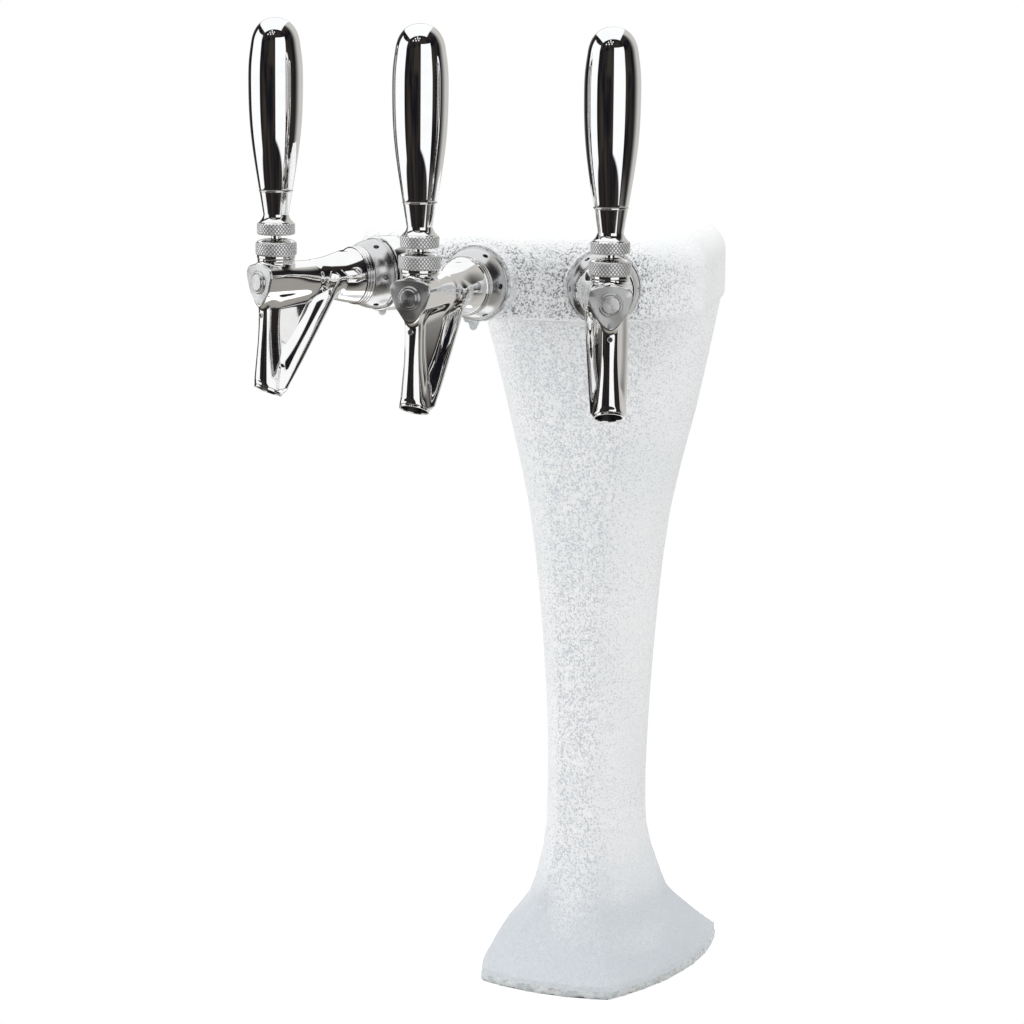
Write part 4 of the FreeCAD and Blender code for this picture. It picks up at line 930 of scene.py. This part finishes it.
def mouth_mesh():
    """The crisp rim of the outlet."""
    outer = [(SPOUT_RADIUS - 0.6, 4.2), (SPOUT_RADIUS - 0.1, 2.4, 0.5), (SPOUT_RADIUS + 0.05, 0.0, 0.15)]
    inner = [(MOUTH_RADIUS, 0.0, 0.12), (MOUTH_RADIUS - 0.1, 0.5)]
    return on_outlet(lathe("mouth", rounded(outer + inner, 0.15, 3), 128))


def mouth_bore_mesh():
    """The bore behind the rim, coloured near black as painted shade."""
    profile = [(MOUTH_RADIUS - 0.1, 0.5), (MOUTH_END_RADIUS, MOUTH_DEPTH, 0.6), (0.0, MOUTH_DEPTH)]
    return on_outlet(lathe("mouth_bore", rounded(profile, 0.15, 3), 96))


def on_outlet(mesh):
    """Stands an upright mesh on the outlet's mouth, its axis up the spout's bore."""
    points = points_of(mesh)
    down = np.array([0, math.sin(SPOUT_TILT), -math.cos(SPOUT_TILT)])
    front = np.array([0, math.cos(SPOUT_TILT), math.sin(SPOUT_TILT)])
    spots = points[:, :1] * [1, 0, 0] + points[:, 1:2] * front - points[:, 2:] * down
    set_points(mesh, spots + np.array([0, *SPOUT_TIP]))
    return smooth(mesh, 35)


def vent_mesh():
    """The fine polished rim of the air hole in the front leg."""
    rim, hole = VENT_RADIUS + 0.4, VENT_RADIUS - 0.1
    profile = [(rim, VENT_FRONT - 1.2), (rim, VENT_FRONT, 0.15), (VENT_RADIUS, VENT_FRONT, 0.1),
               (hole, VENT_FRONT - 0.4), (hole, VENT_FRONT - 1.2)]
    return on_vent(lathe("vent", rounded(profile, 0.1, 3), 48, False))


def vent_bore_mesh():
    """The inside of the air hole, given the black rubber finish as painted shade."""
    front, radius = VENT_FRONT - 0.3, VENT_RADIUS - 0.05
    return on_vent(lathe("vent_bore", [(radius, front - 0.8), (radius, front), (0.0, front)], 48, False))


def on_vent(mesh):
    """Lowers a mesh from the shank's axis to the air hole."""
    set_points(mesh, points_of(mesh) - np.array([0, 0, VENT_DROP]))
    return smooth(mesh, 40)


# ---------------------------------------------------------------- one tap: turned pieces

def on_shank(name, profile, segments, softness, steps, crisp=35):
    """A piece turned about the shank's axis, with softened corners."""
    return smooth(lathe(name, rounded(profile, softness, steps), segments, False), crisp)


def on_neck(name, profile, segments=128, softness=0.15, steps=3):
    """A piece turned about the neck's axis, with softened corners."""
    return smooth(lathe(name, rounded(profile, softness, steps), segments, True, NECK_STATION), 35)


def ribs_mesh():
    """The stepped rim of the bell: three fine ribs that lead onto its curve."""
    profile = [(11.0, 15.2), (19.0, 15.2, 0.2), (19.0, 16.7, 0.2), (18.45, 16.9, 0.1), (18.45, 17.25, 0.1),
               (18.75, 17.4, 0.1), (18.75, 18.5, 0.2), (18.1, 18.7, 0.1), (18.1, 19.05, 0.1),
               (18.35, 19.2, 0.1), (18.3, 20.1, 0.2), (17.5, 20.6, 0.3), (15.6, 24.0), (11.0, 24.0)]
    return on_shank("bell_ribs", profile, 128, 0.15, 3, 40)


FACE_SEGMENTS = 144
# Across the face: how far inside the barrel's outline, and the station.
FACE_EDGE = ((0.75, FACE - 0.8), (0.35, FACE - 0.35), (0.5, FACE), (0.85, FACE + 0.2))
# Then round the plug: radius and station.
FACE_HOLE = ((10.2, FACE + 0.2), (7.75, FACE + 0.2), (7.5, FACE), (7.5, FACE - 1.5))


def face_mesh():
    """The brushed face of the barrel, as a thin plate with a fine bevel round the plug."""
    angles = np.linspace(0, 2 * math.pi, FACE_SEGMENTS, endpoint=False)
    outline = FACE_RADIUS * (1 + LOBE * np.cos(3 * angles) + POINT * np.cos(6 * angles))
    rows = [(outline - inset, station) for inset, station in FACE_EDGE] + list(FACE_HOLE)
    points = [np.stack([reach * np.sin(angles), np.full(FACE_SEGMENTS, station), -reach * np.cos(angles)], -1)
              for reach, station in rows]
    return smooth(mesh_of("face_plate", np.concatenate(points), grid_faces(len(rows), FACE_SEGMENTS)), 30)


def plug_mesh():
    """The plug in the barrel's face: a ring, a groove and a flat button."""
    profile = [(7.4, 88.0), (7.4, 92.2), (7.2, 92.8, 0.3), (6.75, 93.35, 0.3), (6.1, 93.35, 0.15),
               (5.75, 92.95, 0.1), (5.65, 92.95, 0.1), (5.6, 93.9, 0.3), (5.1, 94.35, 0.4), (0.4, 94.4),
               (0.0, 94.3)]
    return on_shank("plug", profile, 96, 0.2, 4)


def hollowed(mesh, cutters):
    """The mesh less the cutters, which are meshes in its own frame."""
    base = linked("base", mesh)
    helpers = [base]
    for cutter in cutters:
        tool = linked("tool", cutter)
        helpers.append(tool)
        modifier = base.modifiers.new("cut", "BOOLEAN")
        modifier.object = tool
        modifier.operation = "DIFFERENCE"
        modifier.solver = "EXACT"
    made = applied(base)
    for helper in helpers:
        bpy.data.objects.remove(helper)
    return made


def rods_round_y(radius, low, high, station, count, offset, sides=24):
    """A mesh of rods that point outward from the Y axis, spaced evenly round it."""
    points, faces = [], []
    for index in range(count):
        turn = 2 * math.pi * (index + offset) / count
        outward = np.array([math.sin(turn), 0, math.cos(turn)])
        sideways = np.array([math.cos(turn), 0, -math.sin(turn)])
        start = len(points)
        for reach in (low, high):
            for side in range(sides):
                angle = 2 * math.pi * side / sides
                spot = outward * reach + np.array([0, station, 0]) + sideways * radius * math.cos(angle)
                points.append(spot + np.array([0, radius * math.sin(angle), 0]))
        for side in range(sides):
            after = (side + 1) % sides
            faces.append([start + side, start + after, start + sides + after, start + sides + side])
    return reworked(mesh_of("rods", points, faces), cap=True)


def coupling_mesh():
    """The domed nut: a notched rim, a satin dome with pin-spanner holes and a rolled lip."""
    swell = [(22.4 - 3.3 * share ** 1.9, 2.9 + 11.2 * share) for share in np.linspace(0, 1, 14)]
    profile = [(12.0, 0.2), (23.0, 0.2, 0.3), (23.0, 2.1, 0.35), (22.45, 2.45, 0.1)] + swell
    profile += [(18.9, 14.6, 0.3), (18.2, 14.8, 0.2), (12.0, 14.8), (12.0, 0.2)]
    mesh = lathe("coupling_nut", rounded(profile, 0.2, 3), 160, False)
    holes = rods_round_y(1.8, 17.8, 26.0, 8.5, 6, 0.5)
    notches = rods_round_y(0.95, 22.3, 26.0, 1.2, 12, 0.25)
    return smooth(hollowed(mesh, [holes, notches]), 32)


KNURL_PITCH = 2.3
KNURL_DEPTH = 0.35
KNURL_COLUMNS = 10                                  # of the mesh, in each diamond
KNURL_BEVEL = 0.35
KNURL_WALL = 2.5


def knurled(name, radius, low, high):
    """A band of diamond knurling with bevelled ends, as a closed ring round the neck's axis."""
    teeth = int(round(2 * math.pi * radius / KNURL_PITCH))
    segments = teeth * KNURL_COLUMNS
    rows = int(math.ceil((high - low) / KNURL_PITCH * KNURL_COLUMNS))
    heights = np.linspace(low, high, rows)
    turn = np.linspace(0, teeth, segments, endpoint=False)
    fade = np.clip(np.minimum(heights - low, high - heights) / KNURL_BEVEL, 0, 1)
    slant = (heights - low) / (KNURL_PITCH * 1.15)
    first, second = turn[None, :] + slant[:, None], turn[None, :] - slant[:, None]
    ridge = np.maximum(np.abs((first % 1) - 0.5), np.abs((second % 1) - 0.5)) * 2
    sink = KNURL_DEPTH * ridge ** 6 + KNURL_BEVEL * (1 - fade[:, None])
    # The knurl attribute: 1 on the points and 0 in the grooves, where the knurled finish paints shade.
    point = np.concatenate([np.clip((1 - ridge) * 2.6, 0, 1).ravel(), np.full(2 * segments, 0.5)])
    angles = turn / teeth * 2 * math.pi

    def ring(reach, height):
        """Points round the neck's axis at a reach and a height."""
        return np.stack([reach * np.cos(angles), reach * np.sin(angles) + NECK_STATION,
                         height * np.ones(segments)], -1).reshape(-1, 3)

    inner = [ring(radius - KNURL_WALL, height) for height in (high, low)]
    points = np.concatenate([ring(radius - sink, heights[:, None])] + inner)
    side = np.arange(segments)
    after, last = (side + 1) % segments, (rows + 1) * segments
    lid = np.stack([last + side, last + after, after, side], 1)
    mesh = reworked(mesh_of(name, points, np.concatenate([grid_faces(rows + 2, segments), lid])))
    set_attribute(mesh, "knurl", point)
    return smooth(mesh, 50)


def neck_mesh():
    """The thin rolled ring at the top of the faucet's neck."""
    profile = [(9.5, 12.2), (11.0, 12.2, 0.2), (11.1, 12.9, 0.2), (11.8, 13.1, 0.2), (11.8, 14.2, 0.3),
               (11.2, 14.5, 0.2), (9.5, 14.5), (9.5, 12.2)]
    return on_neck("neck_rings", profile)


def bonnet_mesh():
    """The polished skirt and crown of the bonnet; its knurled band is a ring round it."""
    crown = [(12.35 - 4.9 * share ** 1.5, 24.55 + 2.15 * share ** 0.75) for share in np.linspace(0, 1, 12)]
    profile = [(10.6, 14.8), (12.1, 14.8, 0.3), (12.1, 16.6, 0.2), (12.4, 17.1, 0.2), (12.4, 24.5, 0.2)]
    profile += crown + [(6.5, 26.7, 0.2), (4.95, 24.4), (4.95, 19.2), (10.6, 19.2), (10.6, 14.8)]
    return on_neck("bonnet", profile)


def jam_mesh():
    """The nut that locks the handle; its knurled band is a ring round it."""
    profile = [(3.1, 29.6), (11.1, 29.6, 0.4), (11.3, 30.0, 0.2), (11.3, 36.6, 0.2), (11.0, 36.9, 0.2),
               (10.6, 37.6, 0.2), (3.1, 37.6), (3.1, 29.6)]
    return on_neck("jam_nut", profile)


def ferrule_mesh():
    """The tapered foot of the handle, flared where it meets the jam nut."""
    flare = [(8.0 + 2.5 * (1 - share) ** 2.0, 37.6 + 4.8 * share) for share in np.linspace(0, 1, 14)]
    lip = [(10.25, 56.4, 0.2), (10.3, 56.7, 0.1), (10.75, 56.8, 0.15), (10.75, 57.5, 0.2)]
    return on_neck("ferrule", [(3.1, 37.6)] + flare + lip + [(3.1, 57.6), (3.1, 37.6)], 160, 0.2, 4)


HANDLE_FOOT = 57.6
HANDLE_TOP = 164.6
HANDLE_STATIONS = (57.6, 75.0, 93.5, 110.0, 124.0, 138.0, 150.0)
HANDLE_RADII = (10.5, 13.3, 15.7, 16.8, 17.05, 16.65, 15.1)


def handle_mesh():
    """The long handle: a slim swelling grip with a domed end, and a fine groove at its foot."""
    heights, radii = cubic(HANDLE_STATIONS, HANDLE_RADII, 90)
    slope = (radii[-1] - radii[-2]) / (heights[-1] - heights[-2])
    dome = []
    rise, brow = HANDLE_TOP - heights[-1], radii[-1]
    for angle in np.linspace(0, math.pi / 2, 48)[1:]:
        share = math.sin(angle)
        lift = rise * share
        reach = brow * math.cos(angle) ** 0.93 + slope * lift * (1 - share) ** 1.2
        dome.append((max(reach, 0.0), heights[-1] + lift))
    dome[-1] = (0.0, HANDLE_TOP)
    foot = [(3.1, HANDLE_FOOT), (10.2, HANDLE_FOOT, 0.1), (10.5, HANDLE_FOOT + 0.3, 0.2)]
    foot = rounded(foot + [(radii[1], heights[1])], 0.15, 3)[:-1]
    profile = foot + list(zip(radii[1:], heights[1:])) + dome
    return smooth(lathe("handle", profile, 192, True, NECK_STATION), 40)


# ---------------------------------------------------------------- one tap: ice

# The collar's back, rim and front, each from one (radius, station) to another.
COLLAR_RUNS = (((12.0, -11.8), (24.4, -11.8)), ((25.0, -11.2), (25.0, -1.4)), ((24.4, -0.4), (12.0, -0.1)))
COLLAR_STEP = 0.55


def collar_mesh(seed):
    """The frosted seat behind the coupling nut: grains round its rim and on its front."""
    steps = []
    for start, end in COLLAR_RUNS:
        count = max(2, int(math.dist(start, end) / COLLAR_STEP))
        steps += [tuple(blend(np.array(start), np.array(end), share)) for share in np.linspace(0, 1, count)]
    mesh = lathe("collar_frost", steps, 288, False)
    smooth(mesh)
    points, normals = points_of(mesh), normals_of(mesh)
    return frosted(mesh, points, normals, seed, 1.3, 0.85)


def sleeve_mesh():
    """The same seat without frost: a plain polished ring."""
    profile = [(12.0, -11.8), (24.2, -11.8, 0.3), (24.2, -0.4, 0.5), (12.0, -0.1)]
    return on_shank("sleeve", profile, 160, 0.3, 4)


# Lumps of ice under each collar: place in the tap's frame, and radius.
DRIPS = {
    "left": ((3.0, -6.5, -25.2, 2.6), (5.5, -7.0, -24.2, 1.9)),
    "middle": ((4.0, -6.0, -25.4, 3.4), (4.3, -5.8, -28.4, 2.3), (9.0, -7.0, -23.6, 2.6)),
    "right": ((-2.0, -7.0, -25.2, 2.0),),
}


def drips_mesh(name):
    """Lumps of clear ice under the collar, run together."""
    lumps = DRIPS[name]

    def distance(points):
        total = None
        for x, u, z, radius in lumps:
            gap = np.linalg.norm(points - np.array([x, u, z]), axis=-1) - radius
            total = gap if total is None else smooth_min(total, gap, 1.2)
        return total

    spots = np.array([lump[:3] for lump in lumps])
    return smooth(surface_of("ice_drips", distance, spots.min(0) - 5, spots.max(0) + 5, 0.5, 1))


# ---------------------------------------------------------------- the base's icy rim

RIM_ROWS = 14
RIM_TOP = 7.0
RIM_LEVEL = 0.003                                   # metres above the column's foot, for its outline
RIM_DEPTH = 4.0
RIM_LOWEST, RIM_HIGHEST = 0.05, 1.6                 # of its ragged lower edge


def make_rim(finish):
    """A skirt of grey ice round the base's foot, its lower edge broken and uneven."""
    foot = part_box("column_shell")[0].z
    edge = column_section(tree_of("column_shell"), foot + RIM_LEVEL, 0.0) / MM
    way = np.roll(edge, -1, axis=0) - np.roll(edge, 1, axis=0)
    normal = np.stack([way[:, 1], -way[:, 0], np.zeros(len(way))], -1)
    normal /= np.linalg.norm(normal, axis=1)[:, None]
    if (normal * edge).sum() < 0:
        normal = -normal
    flat = edge * [1, 1, 0]
    bottom = np.clip(drift(flat, 5.0, 41) + drift(flat, 2.2, 42) - 0.5, RIM_LOWEST, RIM_HIGHEST)
    rear = cad_box[1].y / MM - 0.05
    rows = []
    for share in np.linspace(0, 1, RIM_ROWS):
        height = blend(bottom, RIM_TOP, share)
        lumps = 0.8 * drift(np.column_stack([flat[:, :2], height]) * [1, 1, 1.6], 2.6, 43)
        belly = -0.75 + 0.75 * math.sin(math.pi * min(1.0, share * 1.2 + 0.1)) - 1.6 * share ** 6
        spot = flat + normal * (belly + 1.1 * lumps)[:, None]
        rows.append(np.column_stack([spot[:, 0], np.minimum(spot[:, 1], rear), height]))
    inner = flat - normal * RIM_DEPTH
    rows.append(np.column_stack([inner[:, :2], np.full(len(inner), RIM_TOP - 0.5)]))
    rows.append(np.column_stack([inner[:, :2], bottom + 0.1]))
    rows.append(rows[0])
    mesh = reworked(mesh_of("base_ice", np.concatenate(rows), grid_faces(len(rows), len(flat))), weld=True)
    piece("base_ice", smooth(mesh), finish, TOWER)


# ---------------------------------------------------------------- the three taps

BARE_TAP = "left"                                   # the one whose collar has no frost
TIGHT = ("faucet", "grip")                          # these carry their place in the mesh, for a tight box


def make_taps(finishes):
    """Each tap's pieces share their meshes, apart from the ice.

    A row holds a label, a mesh, a finish, a slot and the CAD node that the piece stands for, if any.
    """
    fixed = (
        ("faucet", faucet_mesh(), "chrome", "faucet_chrome", "faucet_body"),
        ("bell_ribs", ribs_mesh(), "chrome", "faucet_chrome", None),
        ("neck_rings", neck_mesh(), "chrome", "faucet_chrome", None),
        ("vent_rim", vent_mesh(), "chrome", "faucet_chrome", None),
        # The air hole's inside takes the black rubber finish as painted shade.
        ("vent_bore", vent_bore_mesh(), "rubber", "faucet_chrome", None),
        ("mouth", mouth_mesh(), "chrome", "faucet_chrome", None),
        # The outlet's bore takes a finish that is painted shade.
        ("mouth_bore", mouth_bore_mesh(), "bore", "faucet_chrome", None),
        ("face_plate", face_mesh(), "face", "faucet_chrome", None),
        ("plug", plug_mesh(), "button", "plug_chrome", "front_plug"),
        ("nut", coupling_mesh(), "dome", "nut_chrome", "coupling_nut"),
        ("bonnet", bonnet_mesh(), "chrome", "knurled_chrome", "bonnet"),
        ("bonnet_knurl", knurled("bonnet_knurl", 13.0, 17.0, 24.7), "knurl", "knurled_chrome", None),
    )
    moving = (
        ("jam", jam_mesh(), "chrome", "knurled_chrome", "jam_nut"),
        ("jam_knurl", knurled("jam_knurl", 12.0, 29.9, 36.8), "knurl", "knurled_chrome", None),
        ("ferrule_tube", ferrule_mesh(), "chrome", "ferrule_chrome", "ferrule"),
        ("grip", handle_mesh(), "mirror", "handle_chrome", "handle"),
    )
    for order, name in enumerate(TAPS):
        matrix = tap_matrix(name)
        if name == BARE_TAP:
            seat = ("sleeve", sleeve_mesh(), "chrome", "collar_steel", "wall_collar")
        else:
            seat = ("collar_frost", collar_mesh(70 + order), "frost", "collar_steel", "wall_collar")
        own = (("ice_drips", drips_mesh(name), "ice", "shell_paint", None), seat)
        for body, rows in ((TOWER, fixed), ("tap_lever_" + name, moving), (TOWER, own)):
            for label, mesh, finish, slot, node in rows:
                placed = matrix
                if label in TIGHT:
                    mesh = mesh.copy()
                    mesh.transform(matrix)
                    placed = None
                replaced = [node + "_" + name] if node else ()
                piece(label + "_" + name, mesh, finishes[finish], body, replaced, placed)


# ---------------------------------------------------------------- CAD nodes that stay

CAD_FINISHES = {
    "base_gasket": "rubber", "cover_gasket": "rubber", "faucet_seal": "rubber", "valve_seal": "rubber",
    "base_plate": "steel", "base_screws": "fastener", "head_screws": "fastener", "cover_screws": "fastener",
    "underside_cover": "painted", "chill_block": "aluminium", "coolant_loop": "pipe", "beer_line": "pipe",
    "line_clips": "plastic", "ball_washer": "plastic", "shank": "chrome", "lever": "chrome",
    "valve_shaft": "steel", "shank_nut": "fastener",
}


def finish_cad_nodes(finishes):
    for name, node in frame["nodes"].items():
        known = [key for key in CAD_FINISHES if name.startswith(key)]
        if node.hide_render or not known:
            continue
        node.data.materials.clear()
        node.data.materials.append(finishes[CAD_FINISHES[max(known, key=len)]])


# ---------------------------------------------------------------- studio

AMBIENT = 0.86
FLOOR_RADIUS = 0.3
FLOOR_DROP = 0.0002                                 # metres: keeps the floor just under the gasket
FLOOR_GLOW = 0.55
WHITE = (1, 1, 1, 1)
SOFTBOX_LEFT = (-122, -67)                          # degrees from the camera's side, positive to its right
SOFTBOX_RIGHT = (3, 52)
SOFTBOX_LOW, SOFTBOX_HIGH = -17, 28                 # degrees above the horizon; the low edge at inner sides
SOFTBOX_SLANT = 0.12                                # how much the low edge falls toward the outer sides
SOFTBOX_EDGE = 0.8                                  # degrees
CEILING_NEAR, CEILING_FAR = 0.6, 4.0                # in heights of the ceiling over the taps
CEILING_LEFT, CEILING_RIGHT = -1.15, 0.6
PALE_RIGHT, PALE_LEFT = (94, 130), (-145, -172)     # where the backdrop fades in at the sides
PALE_LEFT_SHARE = 0.6
TABLE_FROM, TABLE_TO = -30, -65
LOW_WALL_RISE, LOW_WALL_TURN = (-26, -17), (52, 66)    # a paler wall low on the right
LOW_WALL_SHARE = 0.85
SPOTS = ((-40, 36), (-31, 44), (-24, 38), (-16, 46), (-9, 40), (-3, 47), (-20, 52))
SPOT_SIZE = (3.4, 1.6)                              # degrees, out to the edge of its glow and of the lamp
CARD_COOL, CARD_WARM = (0.008, 0.008, 0.012, 1.0), (0.040, 0.034, 0.028, 1.0)
WALL_COLOUR = (0.42, 0.405, 0.385, 1.0)
TABLE_COLOUR = (0.42, 0.40, 0.36, 1.0)
BACKDROP_COLOUR = (0.62, 0.605, 0.58, 1.0)
BOX_COLOUR = (1.10, 1.11, 1.12, 1.0)
# Name, place, aim, width, height and power of each lamp.
LAMPS = (("ceiling_box", (0.0, -0.1, 1.9), (0.0, -0.05, 0.4), 1.4, 1.4, 8.0),
         ("left_box", (-1.7, -0.9, 0.75), (0.0, -0.1, 0.35), 0.7, 1.3, 9.0),
         ("right_box", (1.2, -1.6, 0.9), (0.0, -0.1, 0.35), 0.7, 1.3, 3.5))


def seen_by_eye_or_mirror(g):
    """One for camera, glossy and transmission rays."""
    path = g.add("ShaderNodeLightPath").outputs
    return g.most(path["Is Camera Ray"], path["Is Glossy Ray"], path["Is Transmission Ray"])


def studio_colour(g):
    """What polished metal sees: two softboxes, a ceiling with small lamps, a pale backdrop and dark card."""
    way = g.add("ShaderNodeTexCoord").outputs["Generated"]
    toward = Vector((-CAMERA_AIM.x, -CAMERA_AIM.y, 0)).normalized()
    aside = Vector((-toward.y, toward.x, 0))
    ahead, beside, height = g.dot(way, tuple(toward)), g.dot(way, tuple(aside)), g.split(way)[2]
    turn = g.product(g.maths("ARCTAN2", beside, ahead), 180 / math.pi)
    rise = g.product(g.maths("ARCSINE", height), 180 / math.pi)
    below_top = g.ease(rise, SOFTBOX_HIGH - SOFTBOX_EDGE, SOFTBOX_HIGH + SOFTBOX_EDGE, 1.0, 0.0)
    sides = []
    for (start, end), inner, slope in ((SOFTBOX_LEFT, SOFTBOX_LEFT[1], -SOFTBOX_SLANT),
                                       (SOFTBOX_RIGHT, SOFTBOX_RIGHT[0], SOFTBOX_SLANT)):
        slanted = g.sum(rise, g.product(g.sum(turn, -float(inner)), slope))
        above_low = g.ease(slanted, SOFTBOX_LOW - SOFTBOX_EDGE, SOFTBOX_LOW + SOFTBOX_EDGE)
        sides.append(g.product(g.band(turn, start, end, 1.0), g.product(above_low, below_top)))
    above = g.maths("MAXIMUM", height, 0.02)
    depth, width = g.maths("DIVIDE", ahead, above), g.maths("DIVIDE", beside, above)
    across = g.product(g.band(width, CEILING_LEFT, CEILING_RIGHT, 0.04), g.ease(height, 0.02, 0.05))
    ceiling = g.product(g.band(depth, -CEILING_FAR, CEILING_NEAR, 0.03), across)
    boxes = g.most(*sides, ceiling)
    glow = [math.cos(math.radians(size)) for size in SPOT_SIZE]
    for spot_turn, spot_rise in SPOTS:
        around, up = math.radians(spot_turn), math.radians(spot_rise)
        level = toward * math.cos(around) + aside * math.sin(around)
        spot = level * math.cos(up) + Vector((0, 0, math.sin(up)))
        boxes = g.most(boxes, g.ease(g.dot(way, tuple(spot)), *glow))
    beyond = g.most(g.ease(turn, *PALE_RIGHT), g.ease(turn, *PALE_LEFT[::-1], PALE_LEFT_SHARE, 0.0))
    clouds = g.noise(3.0, 2.0, way)
    colour = g.mix(g.ease(clouds, 0.35, 0.7), CARD_COOL, CARD_WARM)
    table = g.product(g.ease(rise, TABLE_TO, TABLE_FROM, 1.0, 0.0), g.ease(clouds, 0.2, 0.8, 0.7, 1.0))
    wall = g.product(g.ease(rise, *LOW_WALL_RISE, 1.0, 0.0), g.ease(turn, *LOW_WALL_TURN))
    for share, pale in ((g.product(wall, LOW_WALL_SHARE), WALL_COLOUR), (table, TABLE_COLOUR),
                        (beyond, BACKDROP_COLOUR), (boxes, BOX_COLOUR)):
        colour = g.mix(share, colour, pale)
    return colour


def make_world():
    """White to the eye, the studio to mirrors, and even light for everything else."""
    world = bpy.data.worlds.new("studio")
    bpy.context.scene.world = world
    world.use_nodes = True
    g = Graph(world.node_tree)
    path = g.add("ShaderNodeLightPath").outputs
    ambient, white, mirrored = (
        g.add("ShaderNodeBackground", {"Color": colour, "Strength": strength}).outputs[0]
        for colour, strength in ((WHITE, AMBIENT), (WHITE, 1.0), (studio_colour(g), 1.0)))
    inner = g.add("ShaderNodeMixShader", {0: path["Is Glossy Ray"], 1: ambient, 2: mirrored}).outputs[0]
    seen = g.most(path["Is Camera Ray"], path["Is Transmission Ray"])
    outer = g.add("ShaderNodeMixShader", {0: seen, 1: inner, 2: white}).outputs[0]
    g.add("ShaderNodeOutputWorld", {"Surface": outer})


def make_floor():
    """A pale round floor; a glow, only for the eye and for mirrors, lifts it to the background's white."""
    work = bmesh.new()
    bmesh.ops.create_circle(work, cap_ends=True, segments=128, radius=FLOOR_RADIUS)
    mesh = bpy.data.meshes.new("floor")
    work.to_mesh(mesh)
    work.free()
    made, g = material("floor")
    base = g.add("ShaderNodeBsdfDiffuse", {"Color": grey(0.82)}).outputs[0]
    glow = g.product(seen_by_eye_or_mirror(g), FLOOR_GLOW)
    light = g.add("ShaderNodeEmission", {"Color": WHITE, "Strength": glow}).outputs[0]
    both = g.add("ShaderNodeAddShader", {0: base, 1: light}).outputs[0]
    g.add("ShaderNodeOutputMaterial", {"Surface": both})
    floor = object_of("floor", mesh, made)
    floor.location.z = -FLOOR_DROP


def lamp(name, place, aim, width, height, power):
    data = bpy.data.lights.new(name, "AREA")
    data.shape = "RECTANGLE"
    data.size, data.size_y = width, height
    data.energy = power
    made = linked(name, data)
    way = (Vector(aim) - Vector(place)).normalized()
    made.matrix_world = Matrix.Translation(place) @ way.to_track_quat("-Z", "Y").to_matrix().to_4x4()
    made.visible_glossy = False
    made.visible_camera = False


# ---------------------------------------------------------------- everything

def make_finishes():
    return {
        "frost": frost_material(),
        "ice": ice_material(),
        "mirror": polished("mirror_chrome", grey(0.90), 0.015, 0.02, 0.002),
        "chrome": polished("chrome", grey(0.87, 0.006), 0.03, 0.04, 0.004),
        "knurl": knurled_metal_painted_light(),
        "dome": turned_metal("satin_dome", grey(0.68), 0.20, 2600.0, 0.006),
        "face": turned_metal("brushed_face", grey(0.82), 0.32, 3200.0, 0.004, rings=True, stretch=0.9),
        "button": turned_metal("turned_button", grey(0.76), 0.26, 2600.0, 0.004, rings=True, stretch=0.85),
        # Painted shade: a dark metal for the inside of the outlet, where shade falls.
        "bore": cast_or_rolled("painted_shade_bore", grey(0.09, 0.02), 1.0, 0.3, 700.0, 0.005),
        "rubber": cast_or_rolled("black_rubber", grey(0.035), 0.0, 0.6, 700.0, 0.05),
        "steel": cast_or_rolled("rolled_steel", grey(0.62), 1.0, 0.32, 900.0, 0.01),
        "fastener": cast_or_rolled("plated_fastener", grey(0.66, 0.01), 1.0, 0.25, 800.0, 0.01),
        "aluminium": cast_or_rolled("milled_aluminium", grey(0.78), 1.0, 0.35, 500.0, 0.02),
        "pipe": cast_or_rolled("pipe_steel", grey(0.72), 1.0, 0.2, 1200.0, 0.005),
        "plastic": cast_or_rolled("white_plastic", grey(0.80), 0.0, 0.45, 400.0, 0.03),
        "painted": cast_or_rolled("white_paint", grey(0.86), 0.0, 0.4, 600.0, 0.01),
    }


def main():
    bpy.context.scene.view_settings.view_transform = "Standard"
    make_camera()
    make_world()
    make_floor()
    for row in LAMPS:
        lamp(*row)
    finishes = make_finishes()
    make_column(finishes["frost"])
    make_rim(finishes["ice"])
    make_head(finishes["frost"])
    make_taps(finishes)
    finish_cad_nodes(finishes)


main()
